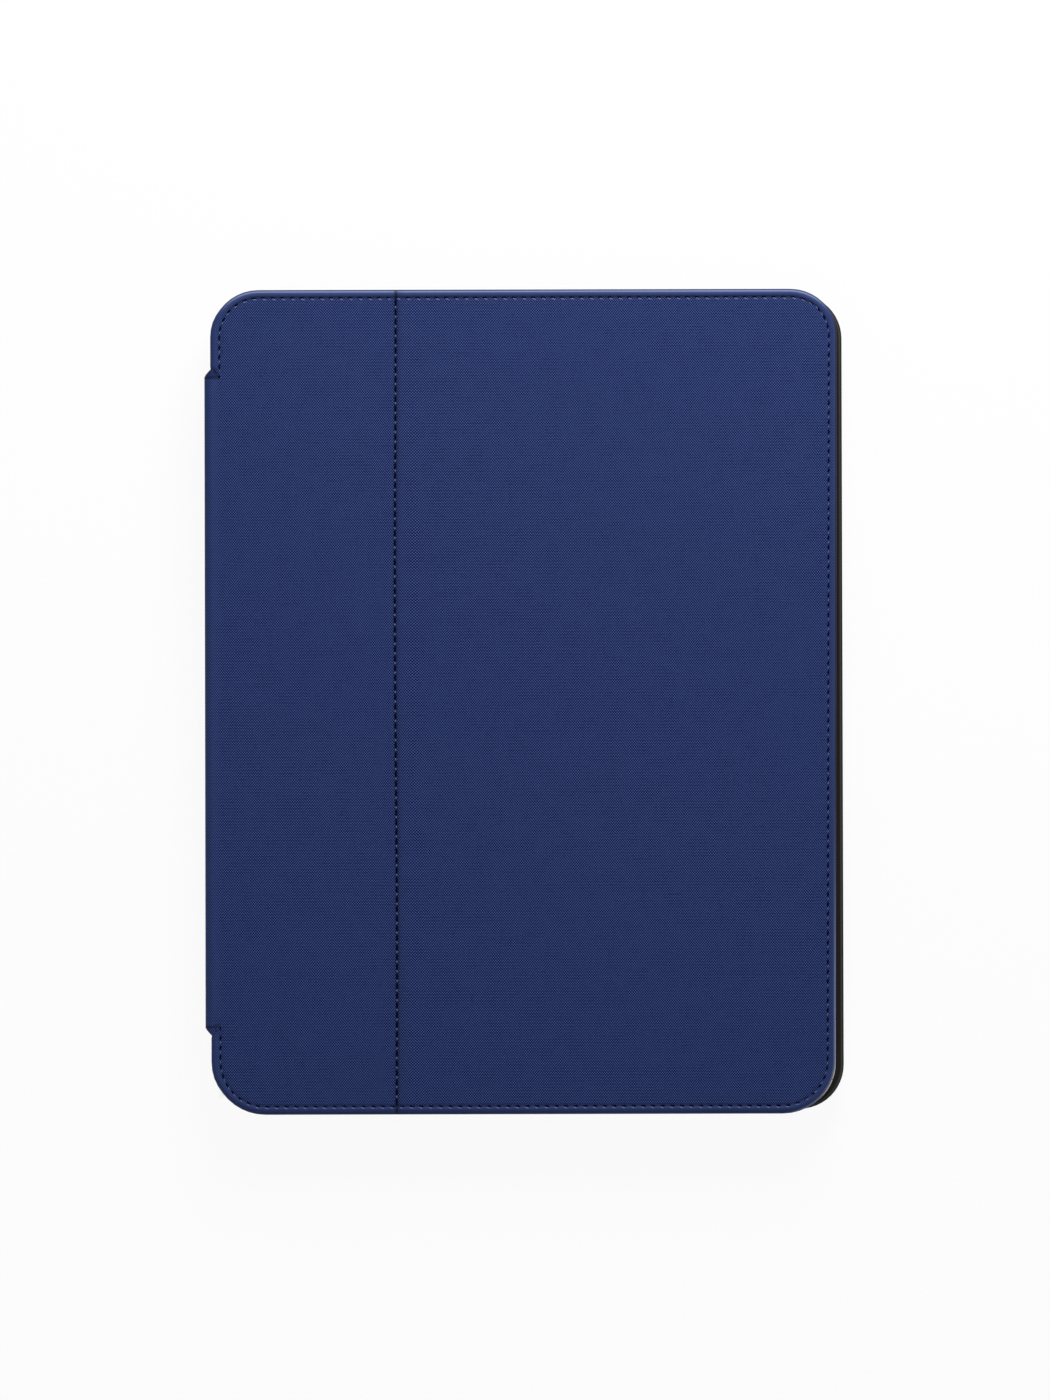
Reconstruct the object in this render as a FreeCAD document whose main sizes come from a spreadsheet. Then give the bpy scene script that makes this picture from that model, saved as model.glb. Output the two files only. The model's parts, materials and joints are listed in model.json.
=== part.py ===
import FreeCAD
import Part
import Sketcher
import os
import re

# Folio case with a lift-off keyboard for a 13-inch class tablet, closed and lying on its back.
# X runs across the case, with the spine at -X and the free edge at +X. Y runs along the case.
# Z is up and the back rests on z = 0. The keyboard hangs keys down under the cover's wide panel.

Vector = FreeCAD.Vector

SIZES = {
    # Tablet that the tray holds
    "tablet_length": 280.6,
    "tablet_width": 214.9,
    "tablet_thick": 6.4,
    "tablet_corner": 18.0,
    "tablet_gap": 0.3,
    # Sheet goods
    "fabric_thick": 0.8,
    "lining_thick": 0.5,
    "cover_board_thick": 1.3,
    "spine_board_thick": 1.2,
    "board_gap": 0.15,
    # Tray
    "tray_wall": 2.0,
    "corner_pad": 4.8,
    "tray_floor": 1.6,
    "tray_lip_reach": 1.6,
    "tray_lip_thick": 1.2,
    "tray_foot_round": 1.2,
    "tray_brow_round": 0.6,
    "tray_lining_thick": 0.4,
    "tray_lining_gap": 0.5,
    "camera_width": 36.0,
    "camera_corner": 9.0,
    "camera_from_edge": 26.0,
    "camera_collar": 1.5,
    "collar_recess": 0.2,
    "port_width": 18.0,
    "port_height": 5.2,
    "port_corner": 2.4,
    "speaker_length": 28.0,
    "speaker_height": 3.0,
    "speaker_corner": 1.4,
    "speaker_from_middle": 52.0,
    "back_inset": 2.0,
    # Button caps in the tray's walls
    "button_gap": 0.12,
    "button_height": 4.0,
    "button_thick": 1.4,
    "button_corner": 1.6,
    "button_round": 0.3,
    "volume_length": 13.0,
    "volume_pitch": 16.0,
    "volume_from_end": 48.0,
    "power_length": 15.0,
    "power_from_edge": 30.0,
    # Spine and cover
    "spine_gap": 1.0,
    "spine_round": 3.0,
    "spine_end_inset": 29.0,
    "flap_inset": 2.5,
    "cover_overhang": 1.4,
    "tray_proud": 2.0,
    "cover_corner": 17.5,
    "crease_margin": 9.5,
    "crease_gap": 0.2,
    "crease_bend": 2.0,
    "hem_width": 1.0,
    "hem_round": 0.7,
    "closed_gap": 0.4,
    # Magnets and steel in the cover
    "closure_width": 10.0,
    "closure_thick": 1.0,
    "closure_gap": 0.1,
    "closure_pitch": 60.0,
    "closure_from_edge": 9.0,
    "keeper_length": 200.0,
    "keeper_width": 8.0,
    "keeper_thick": 0.4,
    # Keyboard case
    "keyboard_short": 10.6,
    "keyboard_margin": 18.0,
    "keyboard_corner": 8.0,
    "front_margin": 5.0,
    "side_margin": 4.5,
    "rear_bar": 17.5,
    "base_floor": 1.0,
    "base_wall": 1.2,
    "frame_thick": 0.8,
    "frame_bevel": 0.4,
    "edge_line": 2.9,
    "screw_end_inset": 20.0,
    "screw_shank": 1.4,
    "screw_head": 3.0,
    "screw_head_thick": 0.5,
    "screw_length": 2.6,
    "screw_gap": 0.05,
    "boss_width": 3.2,
    "bumper_length": 14.0,
    "bumper_width": 3.0,
    "bumper_corner": 1.4,
    "bumper_rise": 1.4,
    "magnet_length": 40.0,
    "magnet_width": 2.8,
    "magnet_thick": 1.5,
    "magnet_from_middle": 70.0,
    # Keys
    "row_pitch": 18.2,
    "function_pitch": 12.5,
    "key_space": 2.6,
    "key_corner": 1.8,
    "key_bevel": 0.3,
    "key_rise": 1.2,
    "key_travel": 1.2,
    "key_gap": 0.3,
    "flange_reach": 0.7,
    "flange_thick": 0.5,
    "flange_gap": 0.1,
    "circuit_thick": 0.4,
    "dome_sheet_thick": 0.3,
    "dome_width": 5.0,
    "dome_crush": 0.8,
    # Electronics in the keyboard's rear bar
    "tail_length": 3.0,
    "tail_width": 14.0,
    "main_board_width": 9.0,
    "main_board_length": 60.0,
    "main_board_thick": 0.8,
    "battery_length": 110.0,
    "battery_width": 9.0,
    "battery_thick": 2.6,
    "battery_corner": 1.5,
    "battery_shift": 20.0,
    "socket_width": 9.0,
    "socket_height": 3.2,
    "socket_depth": 7.4,
    "socket_wall": 0.3,
    "socket_corner": 1.5,
    "socket_back": 1.0,
    "socket_gap": 0.15,
    "tongue_width": 6.7,
    "tongue_thick": 0.7,
    "tongue_setback": 1.0,
    "switch_from_end": 30.0,
    "switch_length": 4.6,
    "switch_width": 2.6,
    "switch_travel": 3.0,
    "switch_rise": 0.6,
    "switch_gap": 0.2,
    "switch_corner": 0.8,
    "switch_flange": 1.0,
    "switch_housing_length": 10.0,
    "switch_housing_width": 5.0,
    "switch_housing_thick": 2.3,
    "lens_width": 2.4,
    "lens_length": 1.6,
    "lens_gap": 0.05,
    "lens_from_switch": 14.0,
}

LETTER_ROWS = ("bottom", "lower", "home", "upper", "number")
ROW_UNITS = 14.5
FUNCTION_COUNT = 14
FUNCTION_UNITS = ROW_UNITS / FUNCTION_COUNT

# Sizes and places that follow from the sheet
PLACES = {
    "spine_thick": "fabric_thick + spine_board_thick + lining_thick",
    "cover_thick": "fabric_thick + cover_board_thick + lining_thick",
    "pocket_width": "tablet_width + 2 * tablet_gap",
    "pocket_length": "tablet_length + 2 * tablet_gap",
    "pocket_corner": "tablet_corner + tablet_gap",
    "tray_corner": "pocket_corner + tray_wall - corner_pad",
    "tray_width": "pocket_width + 2 * tray_wall",
    "tray_length": "pocket_length + 2 * tray_wall",
    "overall_width": "spine_thick + spine_gap + tray_width",
    # Places across the case
    "spine_x": "-overall_width / 2",
    "flap_x": "spine_x + flap_inset",
    "tray_left": "spine_x + spine_thick + spine_gap",
    "tray_right": "overall_width / 2",
    "pocket_left": "tray_left + tray_wall",
    "pocket_right": "tray_right - tray_wall",
    "tray_x": "(tray_left + tray_right) / 2",
    "cover_right": "tray_right - tray_proud",
    "crease_x": "cover_right - keyboard_margin - keyboard_depth - crease_margin",
    "camera_x": "pocket_right - tablet_gap - camera_from_edge",
    "power_x": "pocket_right - tablet_gap - power_from_edge",
    # Places along the case
    "tray_end": "tray_length / 2",
    "pocket_end": "pocket_length / 2",
    "cover_end": "tray_end + cover_overhang",
    "spine_end": "cover_end - spine_end_inset",
    "camera_y": "pocket_end - tablet_gap - camera_from_edge",
    "volume_y": "pocket_end - tablet_gap - volume_from_end",
    # Heights
    "floor_top": "fabric_thick + tray_floor",
    "pocket_floor": "floor_top + tray_lining_thick",
    "tablet_middle": "pocket_floor + tablet_thick / 2",
    "lip_base": "pocket_floor + tablet_thick + tablet_gap",
    "tray_top": "lip_base + tray_lip_thick",
    "cover_low": "tray_top + closed_gap + keyboard_height",
    "board_low": "cover_low + lining_thick",
    "board_high": "board_low + cover_board_thick",
    "cover_top": "board_high + fabric_thick",
    # Keyboard, measured from its own centre and up from its underside, keys up
    "keyboard_length": "tablet_length - keyboard_short",
    "key_pitch": f"(keyboard_length - 2 * side_margin) / {ROW_UNITS}",
    "keyboard_depth": f"front_margin + {len(LETTER_ROWS)} * row_pitch + function_pitch + rear_bar",
    "keyboard_end": "keyboard_length / 2",
    "keyboard_rear": "keyboard_depth / 2",
    "keyboard_front": "-keyboard_depth / 2",
    "keyboard_x": "cover_right - keyboard_margin - keyboard_depth / 2",
    "keys_front": "keyboard_front + front_margin",
    "keys_rear": "keyboard_rear - rear_bar",
    "keys_left": f"{ROW_UNITS} * key_pitch / 2",
    "dome_base": "base_floor + circuit_thick",
    "dome_low": "dome_base + dome_sheet_thick",
    "dome_rise": "key_travel + dome_crush",
    "flange_low": "dome_low + dome_rise",
    "flange_top": "flange_low + flange_thick",
    "frame_low": "flange_top + flange_gap",
    "frame_top": "frame_low + frame_thick",
    "keyboard_height": "frame_top + bumper_rise",
    "screw_row": "keyboard_rear - edge_line",
    "screw_end": "keyboard_end - screw_end_inset",
    "main_board_x": "keys_rear + tail_length",
    "main_board_y": "-keyboard_end + socket_depth",
    "socket_x": "main_board_x + main_board_width / 2",
    "socket_z": "(base_floor + frame_low) / 2",
    "switch_x": "keyboard_rear - rear_bar / 2",
    "switch_y": "keyboard_end - switch_from_end",
    "lens_y": "switch_y - lens_from_switch",
}

# Centre across the keyboard, and pitch, of each row of keys
ROWS = {
    name: (f"keys_front + row_pitch * {index + 0.5}", "row_pitch")
    for index, name in enumerate(LETTER_ROWS)
}
ROWS["function"] = (f"keys_front + row_pitch * {len(LETTER_ROWS)} + function_pitch / 2", "function_pitch")
ROWS["near_half"] = ("keys_front + row_pitch / 4", "row_pitch / 2")
ROWS["far_half"] = ("keys_front + row_pitch * 3 / 4", "row_pitch / 2")

# Keys of one size in one row share a node: name, row, first unit, width in units, count, step in units
KEYS = (
    ("function_keys", "function", 0, FUNCTION_UNITS, FUNCTION_COUNT, FUNCTION_UNITS),
    ("number_keys", "number", 0, 1, 13, 1),
    ("backspace_key", "number", 13, 1.5, 1, 0),
    ("tab_key", "upper", 0, 1.5, 1, 0),
    ("upper_letter_keys", "upper", 1.5, 1, 13, 1),
    ("caps_lock_key", "home", 0, 1.75, 1, 0),
    ("home_letter_keys", "home", 1.75, 1, 11, 1),
    ("enter_key", "home", 12.75, 1.75, 1, 0),
    ("left_shift_key", "lower", 0, 2.25, 1, 0),
    ("lower_letter_keys", "lower", 2.25, 1, 10, 1),
    ("right_shift_key", "lower", 12.25, 2.25, 1, 0),
    ("modifier_keys", "bottom", 0, 1, 3, 1),
    ("command_keys", "bottom", 3, 1.25, 2, 6.25),
    ("space_bar", "bottom", 4.25, 5, 1, 0),
    ("option_key", "bottom", 10.5, 1, 1, 0),
    ("side_arrow_keys", "bottom", 11.5, 1, 2, 2),
    ("down_arrow_key", "near_half", 12.5, 1, 1, 0),
    ("up_arrow_key", "far_half", 12.5, 1, 1, 0),
)

doc = FreeCAD.newDocument("folio_keyboard_case")
sheet = doc.addObject("Spreadsheet::Sheet", "dims")
nodes = []
cuts = []


def fill_sheet():
    for row, (alias, size) in enumerate(SIZES.items(), start=1):
        sheet.set(f"A{row}", alias)
        sheet.set(f"B{row}", str(size))
        sheet.setAlias(f"B{row}", alias)
    doc.recompute()


def formula(text):
    """Writes named sizes and places out as an expression on the sheet's cells."""

    def spell_out(match):
        word = match.group(0)
        if word in PLACES:
            return "(" + formula(PLACES[word]) + ")"
        return "dims." + word

    return re.sub(r"[a-z][a-z_]*", spell_out, str(text))


def number(text):
    """The present value of an expression, in millimetres."""
    return float(sheet.evalExpression(formula(text)))


def bind(thing, prop, text):
    thing.setExpression(prop, formula(text))


def new_node(kind, name):
    """A document object that is one sub-part of the case."""
    node = doc.addObject(kind, name)
    node.Label = name
    nodes.append(node)
    return node


def new_body(name):
    return new_node("PartDesign::Body", name)


def new_keyboard_body(name):
    """A body drawn keys up, and turned over to hang under the cover."""
    body = new_body(name)
    body.Placement = FreeCAD.Placement(Vector(), FreeCAD.Rotation(Vector(0, 1, 0), 180))
    bind(body, "Placement.Base.x", "keyboard_x")
    bind(body, "Placement.Base.z", "cover_low")
    return body


def origin_feature(body, role):
    return next(item for item in body.Origin.OriginFeatures if item.Role == role)


def new_sketch(body, name, offset="0", plane="XY_Plane"):
    """A sketch on one of the body's own planes, moved along the plane's normal."""
    sketch = body.newObject("Sketcher::SketchObject", f"{body.Name}_{name}")
    sketch.AttachmentSupport = [(origin_feature(body, plane), "")]
    sketch.MapMode = "FlatFace"
    bind(sketch, "AttachmentOffset.Base.z", offset)
    return sketch


def constrain(sketch, text, kind, *where):
    index = sketch.addConstraint(Sketcher.Constraint(kind, *where, number(text)))
    sketch.setExpression(f"Constraints[{index}]", formula(text))


def draw_outline(sketch, corners):
    """A closed outline of level and upright sides, anticlockwise, from (x, y, radius) corners."""
    points = [Vector(number(x), number(y), 0) for x, y, radius in corners]
    radii = [number(radius) if radius else 0.0 for x, y, radius in corners]
    sides = []
    for index, (x, y, radius) in enumerate(corners):
        after = (index + 1) % len(corners)
        along = (points[after] - points[index]).normalize()
        start = points[index] + along * radii[index]
        end = points[after] - along * radii[after]
        side = sketch.addGeometry(Part.LineSegment(start, end))
        upright = abs(along.x) < abs(along.y)
        sketch.addConstraint(Sketcher.Constraint("Vertical" if upright else "Horizontal", side))
        constrain(sketch, x if upright else y, "DistanceX" if upright else "DistanceY", side, 1)
        sides.append(side)
    for index, (x, y, radius) in enumerate(corners):
        before = sides[index - 1]
        side = sides[index]
        if not radius:
            sketch.addConstraint(Sketcher.Constraint("Coincident", before, 2, side, 1))
            continue
        start = sketch.getPoint(before, 2)
        end = sketch.getPoint(side, 1)
        centre = start + end - points[index]
        middle = centre + (points[index] - centre).normalize() * radii[index]
        arc = sketch.addGeometry(Part.Arc(start, middle, end))
        sketch.addConstraint(Sketcher.Constraint("Tangent", before, 2, arc, 1))
        sketch.addConstraint(Sketcher.Constraint("Tangent", arc, 2, side, 1))
        constrain(sketch, radius, "Radius", arc)


def draw_rectangle(sketch, low_x, high_x, low_y, high_y, radius=None):
    corners = ((low_x, low_y), (high_x, low_y), (high_x, high_y), (low_x, high_y))
    draw_outline(sketch, [(x, y, radius) for x, y in corners])


def draw_centred(sketch, x, y, width, height, radius=None):
    """A rectangle by its centre and its two sizes."""
    low_x = f"{x} - ({width}) / 2"
    high_x = f"{x} + ({width}) / 2"
    low_y = f"{y} - ({height}) / 2"
    high_y = f"{y} + ({height}) / 2"
    draw_rectangle(sketch, low_x, high_x, low_y, high_y, radius)


def draw_circle(sketch, x, y, diameter):
    circle = Part.Circle(Vector(number(x), number(y), 0), Vector(0, 0, 1), number(diameter) / 2)
    index = sketch.addGeometry(circle)
    constrain(sketch, x, "DistanceX", index, 3)
    constrain(sketch, y, "DistanceY", index, 3)
    constrain(sketch, diameter, "Diameter", index)


def extrude(kind, body, sketch, length, backward, both_ways):
    feature = body.newObject(kind, sketch.Name + "_solid")
    feature.Profile = sketch
    feature.Reversed = backward
    feature.SideType = "Symmetric" if both_ways else "One side"
    bind(feature, "Length", length)
    return feature


def pad(body, sketch, length, backward=False, both_ways=False):
    return extrude("PartDesign::Pad", body, sketch, length, backward, both_ways)


def pocket(body, sketch, depth, backward=False, both_ways=False):
    """A cut against the sketch's normal, or along it where backward."""
    feature = extrude("PartDesign::Pocket", body, sketch, depth, backward, both_ways)
    cuts.append(feature)
    return feature


def repeat(body, feature, axis, span, count, backward=False, whole=False):
    """Copies a feature, or the whole body so far, in a straight row."""
    pattern = body.newObject("PartDesign::LinearPattern", feature.Name + "_row")
    if whole:
        pattern.TransformMode = "Whole shape"
    else:
        pattern.Originals = [feature]
    pattern.Direction = (origin_feature(body, axis), [""])
    pattern.Reversed = backward
    pattern.Occurrences = count
    bind(pattern, "Length", span)
    body.Tip = pattern
    return pattern


def flat_edges(feature, height, axis="z", leave_out=None):
    """Names of a feature's edges that lie flat at a height, but for those at a leave_out x."""
    level = number(height)
    names = []
    for index, edge in enumerate(feature.Shape.Edges, start=1):
        points = [edge.valueAt(edge.FirstParameter), edge.valueAt(edge.LastParameter)]
        flat = all(abs(getattr(point, axis) - level) < 1e-4 for point in points)
        left_out = leave_out and all(abs(point.x - number(leave_out)) < 1e-4 for point in points)
        if flat and not left_out:
            names.append(f"Edge{index}")
    return names


def dress(kind, prop, body, feature, edges, size):
    dressed = body.newObject(kind, feature.Name + "_edge")
    dressed.Base = (feature, edges)
    bind(dressed, prop, size)
    doc.recompute()
    return dressed


def round_edges(body, feature, edges, radius):
    return dress("PartDesign::Fillet", "Radius", body, feature, edges, radius)


def bevel_edges(body, feature, edges, size):
    return dress("PartDesign::Chamfer", "Size", body, feature, edges, size)


def new_box(name, low, high):
    """A Part::Box between two corners, each three expressions."""
    box = doc.addObject("Part::Box", name)
    for prop, axis, start, end in zip(("Length", "Width", "Height"), "xyz", low, high):
        bind(box, prop, f"{end} - ({start})")
        bind(box, f"Placement.Base.{axis}", start)
    return box


def eighth_tube(name, centre_z, start_angle):
    """An eighth of the round fabric bend along the spine, so that each bend splits at its mitre."""
    turn = FreeCAD.Rotation(Vector(1, 0, 0), 90) * FreeCAD.Rotation(Vector(0, 0, 1), start_angle)
    wedges = []
    for side, radius in (("outer", "spine_round"), ("inner", "spine_round - fabric_thick")):
        wedge = doc.addObject("Part::Cylinder", f"{name}_{side}")
        wedge.Angle = 45 if side == "outer" else 360
        wedge.Placement = FreeCAD.Placement(Vector(), turn)
        bind(wedge, "Radius", radius)
        bind(wedge, "Height", "2 * spine_end")
        bind(wedge, "Placement.Base.x", "spine_x + spine_round")
        bind(wedge, "Placement.Base.y", "spine_end")
        bind(wedge, "Placement.Base.z", centre_z)
        wedges.append(wedge)
    tube = doc.addObject("Part::Cut", name)
    tube.Base, tube.Tool = wedges
    return tube


def join(name, pieces):
    node = new_node("Part::MultiFuse", name)
    node.Shapes = pieces
    node.Refine = True
    return node


def make_tray_shell():
    body = new_body("tray_shell")
    block = new_sketch(body, "outline", "fabric_thick")
    draw_rectangle(block, "tray_left", "tray_right", "-tray_end", "tray_end", "tray_corner")
    solid = pad(body, block, "tray_top - fabric_thick")
    doc.recompute()
    solid = round_edges(body, solid, flat_edges(solid, "fabric_thick"), "tray_foot_round")
    round_edges(body, solid, flat_edges(solid, "tray_top"), "tray_brow_round")

    mouth = new_sketch(body, "mouth", "tray_top")
    inset = "tray_lip_reach"
    draw_rectangle(
        mouth, f"pocket_left + {inset}", f"pocket_right - {inset}",
        f"-(pocket_end - {inset})", f"pocket_end - {inset}", f"pocket_corner - {inset}",
    )
    pocket(body, mouth, "tray_lip_thick")
    hollow = new_sketch(body, "hollow", "lip_base")
    draw_rectangle(hollow, "pocket_left", "pocket_right", "-pocket_end", "pocket_end", "pocket_corner")
    pocket(body, hollow, "lip_base - floor_top")

    collar = new_sketch(body, "camera_collar", "fabric_thick")
    collar_width = "camera_width + 2 * camera_collar"
    draw_centred(collar, "camera_x", "camera_y", collar_width, collar_width, "camera_corner + camera_collar")
    pad(body, collar, "fabric_thick - collar_recess", backward=True)
    camera = new_sketch(body, "camera", "floor_top")
    draw_centred(camera, "camera_x", "camera_y", "camera_width", "camera_width", "camera_corner")
    pocket(body, camera, "floor_top")

    port = new_sketch(body, "port", "tray_end - tray_wall / 2", "XZ_Plane")
    draw_centred(port, "tray_x", "tablet_middle", "port_width", "port_height", "port_corner")
    pocket(body, port, "2 * tray_wall", both_ways=True)
    for end, offset in (("near", "tray_end - tray_wall / 2"), ("far", "tray_wall / 2 - tray_end")):
        for side, sign in (("left", "-"), ("right", "+")):
            slot = new_sketch(body, f"speaker_{end}_{side}", offset, "XZ_Plane")
            middle = f"tray_x {sign} speaker_from_middle"
            draw_centred(slot, middle, "tablet_middle", "speaker_length", "speaker_height", "speaker_corner")
            pocket(body, slot, "2 * tray_wall", both_ways=True)

    window_height = "button_height + 2 * button_gap"
    window_corner = "button_corner + button_gap"
    for name, y in (("up", "volume_y"), ("down", "volume_y - volume_pitch")):
        window = new_sketch(body, f"volume_{name}", "tray_right - tray_wall / 2", "YZ_Plane")
        length = "volume_length + 2 * button_gap"
        draw_centred(window, y, "tablet_middle", length, window_height, window_corner)
        pocket(body, window, "2 * tray_wall", both_ways=True)
    window = new_sketch(body, "power", "tray_wall / 2 - tray_end", "XZ_Plane")
    length = "power_length + 2 * button_gap"
    draw_centred(window, "power_x", "tablet_middle", length, window_height, window_corner)
    pocket(body, window, "2 * tray_wall", both_ways=True)


def make_tray_lining():
    body = new_body("tray_lining")
    plate = new_sketch(body, "outline", "floor_top")
    gap = "tray_lining_gap"
    draw_rectangle(
        plate, f"pocket_left + {gap}", f"pocket_right - {gap}",
        f"-(pocket_end - {gap})", f"pocket_end - {gap}", f"pocket_corner - {gap}",
    )
    pad(body, plate, "tray_lining_thick")
    hole = new_sketch(body, "camera", "pocket_floor")
    width = f"camera_width + 2 * {gap}"
    draw_centred(hole, "camera_x", "camera_y", width, width, f"camera_corner + {gap}")
    pocket(body, hole, "tray_lining_thick")


def make_buttons():
    for name, y in (("volume_up_button", "volume_y"), ("volume_down_button", "volume_y - volume_pitch")):
        body = new_body(name)
        cap = new_sketch(body, "outline", "tray_right - button_thick", "YZ_Plane")
        draw_centred(cap, y, "tablet_middle", "volume_length", "button_height", "button_corner")
        solid = pad(body, cap, "button_thick")
        doc.recompute()
        round_edges(body, solid, flat_edges(solid, "tray_right", "x"), "button_round")
    body = new_body("power_button")
    cap = new_sketch(body, "outline", "button_thick - tray_end", "XZ_Plane")
    draw_centred(cap, "power_x", "tablet_middle", "power_length", "button_height", "button_corner")
    solid = pad(body, cap, "button_thick", backward=True)
    doc.recompute()
    round_edges(body, solid, flat_edges(solid, "tray_end", "y"), "button_round")


def make_back_fabric():
    plate_body = doc.addObject("PartDesign::Body", "back_plate")
    plate = new_sketch(plate_body, "outline")
    corner = "tray_corner - back_inset"
    draw_rectangle(
        plate, "tray_left + back_inset", "tray_right - back_inset",
        "-(tray_end - back_inset)", "tray_end - back_inset", corner,
    )
    pad(plate_body, plate, "fabric_thick")
    hole = new_sketch(plate_body, "camera", "fabric_thick")
    width = "camera_width + 2 * camera_collar + 2 * board_gap"
    draw_centred(hole, "camera_x", "camera_y", width, width, "camera_corner + camera_collar + board_gap")
    pocket(plate_body, hole, "fabric_thick")
    strip_low = ("spine_x + spine_round", "-spine_end", "0")
    strip_high = ("tray_left + pocket_corner", "spine_end", "fabric_thick")
    strip = new_box("back_strip", strip_low, strip_high)
    bend = eighth_tube("back_bend", "spine_round", 225)
    join("back_fabric", [plate_body, strip, bend])


def make_spine():
    low = ("spine_x", "-spine_end", "spine_round")
    high = ("spine_x + fabric_thick", "spine_end", "cover_top - spine_round")
    wall = new_box("spine_wall", low, high)
    upper = eighth_tube("spine_upper_bend", "cover_top - spine_round", 135)
    lower = eighth_tube("spine_lower_bend", "spine_round", 180)
    join("spine_fabric", [wall, upper, lower])
    layers = (
        ("spine_board", "spine_x + fabric_thick", "spine_board_thick"),
        ("spine_lining", "spine_x + fabric_thick + spine_board_thick", "lining_thick"),
    )
    for name, x, thick in layers:
        body = new_body(name)
        plate = new_sketch(body, "outline", x, "YZ_Plane")
        ends = ("-(spine_end - hem_width)", "spine_end - hem_width")
        draw_rectangle(plate, *ends, "spine_round", "cover_top - spine_round", "hem_width")
        pad(body, plate, thick)


def panel_corners(low_x, high_x, end, low_radius, high_radius):
    return (
        (low_x, f"-({end})", low_radius),
        (high_x, f"-({end})", high_radius),
        (high_x, end, high_radius),
        (low_x, end, low_radius),
    )


def make_cover_skin(body, outer, hollow, crease_face):
    """A fabric skin with its edges turned down round the board and the lining."""
    outline = new_sketch(body, "outline", "cover_low")
    draw_outline(outline, outer)
    solid = pad(body, outline, "cover_thick")
    doc.recompute()
    round_edges(body, solid, flat_edges(solid, "cover_top", leave_out=crease_face), "hem_round")
    inside = new_sketch(body, "hollow", "cover_low")
    draw_outline(inside, hollow)
    pocket(body, inside, "cover_thick - fabric_thick", backward=True)


def make_layer(name, corners, low, thick):
    body = new_body(name)
    plate = new_sketch(body, "outline", low)
    draw_outline(plate, corners)
    pad(body, plate, thick)
    return body


def make_narrow_panel():
    skin = doc.addObject("PartDesign::Body", "narrow_skin")
    face = "crease_x - crease_gap / 2"
    past = "crease_x + hem_width"
    inner_end = "cover_end - hem_width"
    outer = panel_corners("flap_x", face, "cover_end", "cover_corner", None)
    hollow = panel_corners("flap_x + hem_width", past, inner_end, "cover_corner - hem_width", None)
    make_cover_skin(skin, outer, hollow, face)
    strip_low = ("spine_x + spine_round", "-spine_end", "board_high")
    strip_high = ("flap_x + 2 * hem_width", "spine_end", "cover_top")
    strip = new_box("narrow_strip", strip_low, strip_high)
    bend = eighth_tube("narrow_bend", "cover_top - spine_round", 90)
    join("narrow_fabric", [skin, strip, bend])
    left = "flap_x + hem_width + board_gap"
    end = "cover_end - hem_width - board_gap"
    corner = "cover_corner - hem_width - board_gap"
    board = panel_corners(left, "crease_x - crease_bend", end, corner, None)
    make_layer("narrow_board", board, "board_low", "cover_board_thick")
    lining = panel_corners(left, face, end, corner, None)
    make_layer("narrow_lining", lining, "cover_low", "lining_thick")


def closure_places():
    count = 4
    return [("cover_right - closure_from_edge", f"closure_pitch * {i - (count - 1) / 2}") for i in range(count)]


def keeper_places():
    return [f"keyboard_x {sign} screw_row" for sign in "-+"]


def make_wide_panel():
    skin = new_body("wide_fabric")
    face = "crease_x + crease_gap / 2"
    past = "crease_x - hem_width"
    inner_end = "cover_end - hem_width"
    outer = panel_corners(face, "cover_right", "cover_end", None, "cover_corner")
    hollow = panel_corners(past, "cover_right - hem_width", inner_end, None, "cover_corner - hem_width")
    make_cover_skin(skin, outer, hollow, face)
    right = "cover_right - hem_width - board_gap"
    end = "cover_end - hem_width - board_gap"
    corner = "cover_corner - hem_width - board_gap"
    outline = panel_corners("crease_x + crease_bend", right, end, None, corner)
    board = make_layer("wide_board", outline, "board_low", "cover_board_thick")
    seats = new_sketch(board, "magnet_seats", "board_low")
    for x, y in closure_places():
        draw_circle(seats, x, y, "closure_width + 2 * closure_gap")
    pocket(board, seats, "cover_board_thick", backward=True)
    slots = new_sketch(board, "keeper_seats", "board_low")
    for x in keeper_places():
        draw_centred(slots, x, "0", "keeper_width + 2 * board_gap", "keeper_length + 2 * board_gap")
    pocket(board, slots, "keeper_thick", backward=True)
    make_layer("wide_lining", panel_corners(face, right, end, None, corner), "cover_low", "lining_thick")

    magnets = new_body("closure_magnets")
    discs = new_sketch(magnets, "outline", "board_low")
    for x, y in closure_places():
        draw_circle(discs, x, y, "closure_width")
    pad(magnets, discs, "closure_thick")
    keepers = new_body("keeper_strips")
    strips = new_sketch(keepers, "outline", "board_low")
    for x in keeper_places():
        draw_centred(strips, x, "0", "keeper_width", "keeper_length")
    pad(keepers, strips, "keeper_thick")


def screw_places():
    ends = ("-screw_end", "0", "screw_end")
    return [(x, y) for x in ("-screw_row", "screw_row") for y in ends]


def edge_places(y):
    """Four places, front and rear, left and right, over the keyboard's edge lines."""
    return [(f"{a}screw_row", f"{b}{y}") for a in ("", "-") for b in ("", "-")]


def draw_keyboard_outline(sketch, inset="0"):
    low_x = f"keyboard_front + {inset}"
    high_x = f"keyboard_rear - {inset}"
    end = f"keyboard_end - {inset}"
    draw_rectangle(sketch, low_x, high_x, f"-({end})", end, f"keyboard_corner - {inset}")


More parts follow.
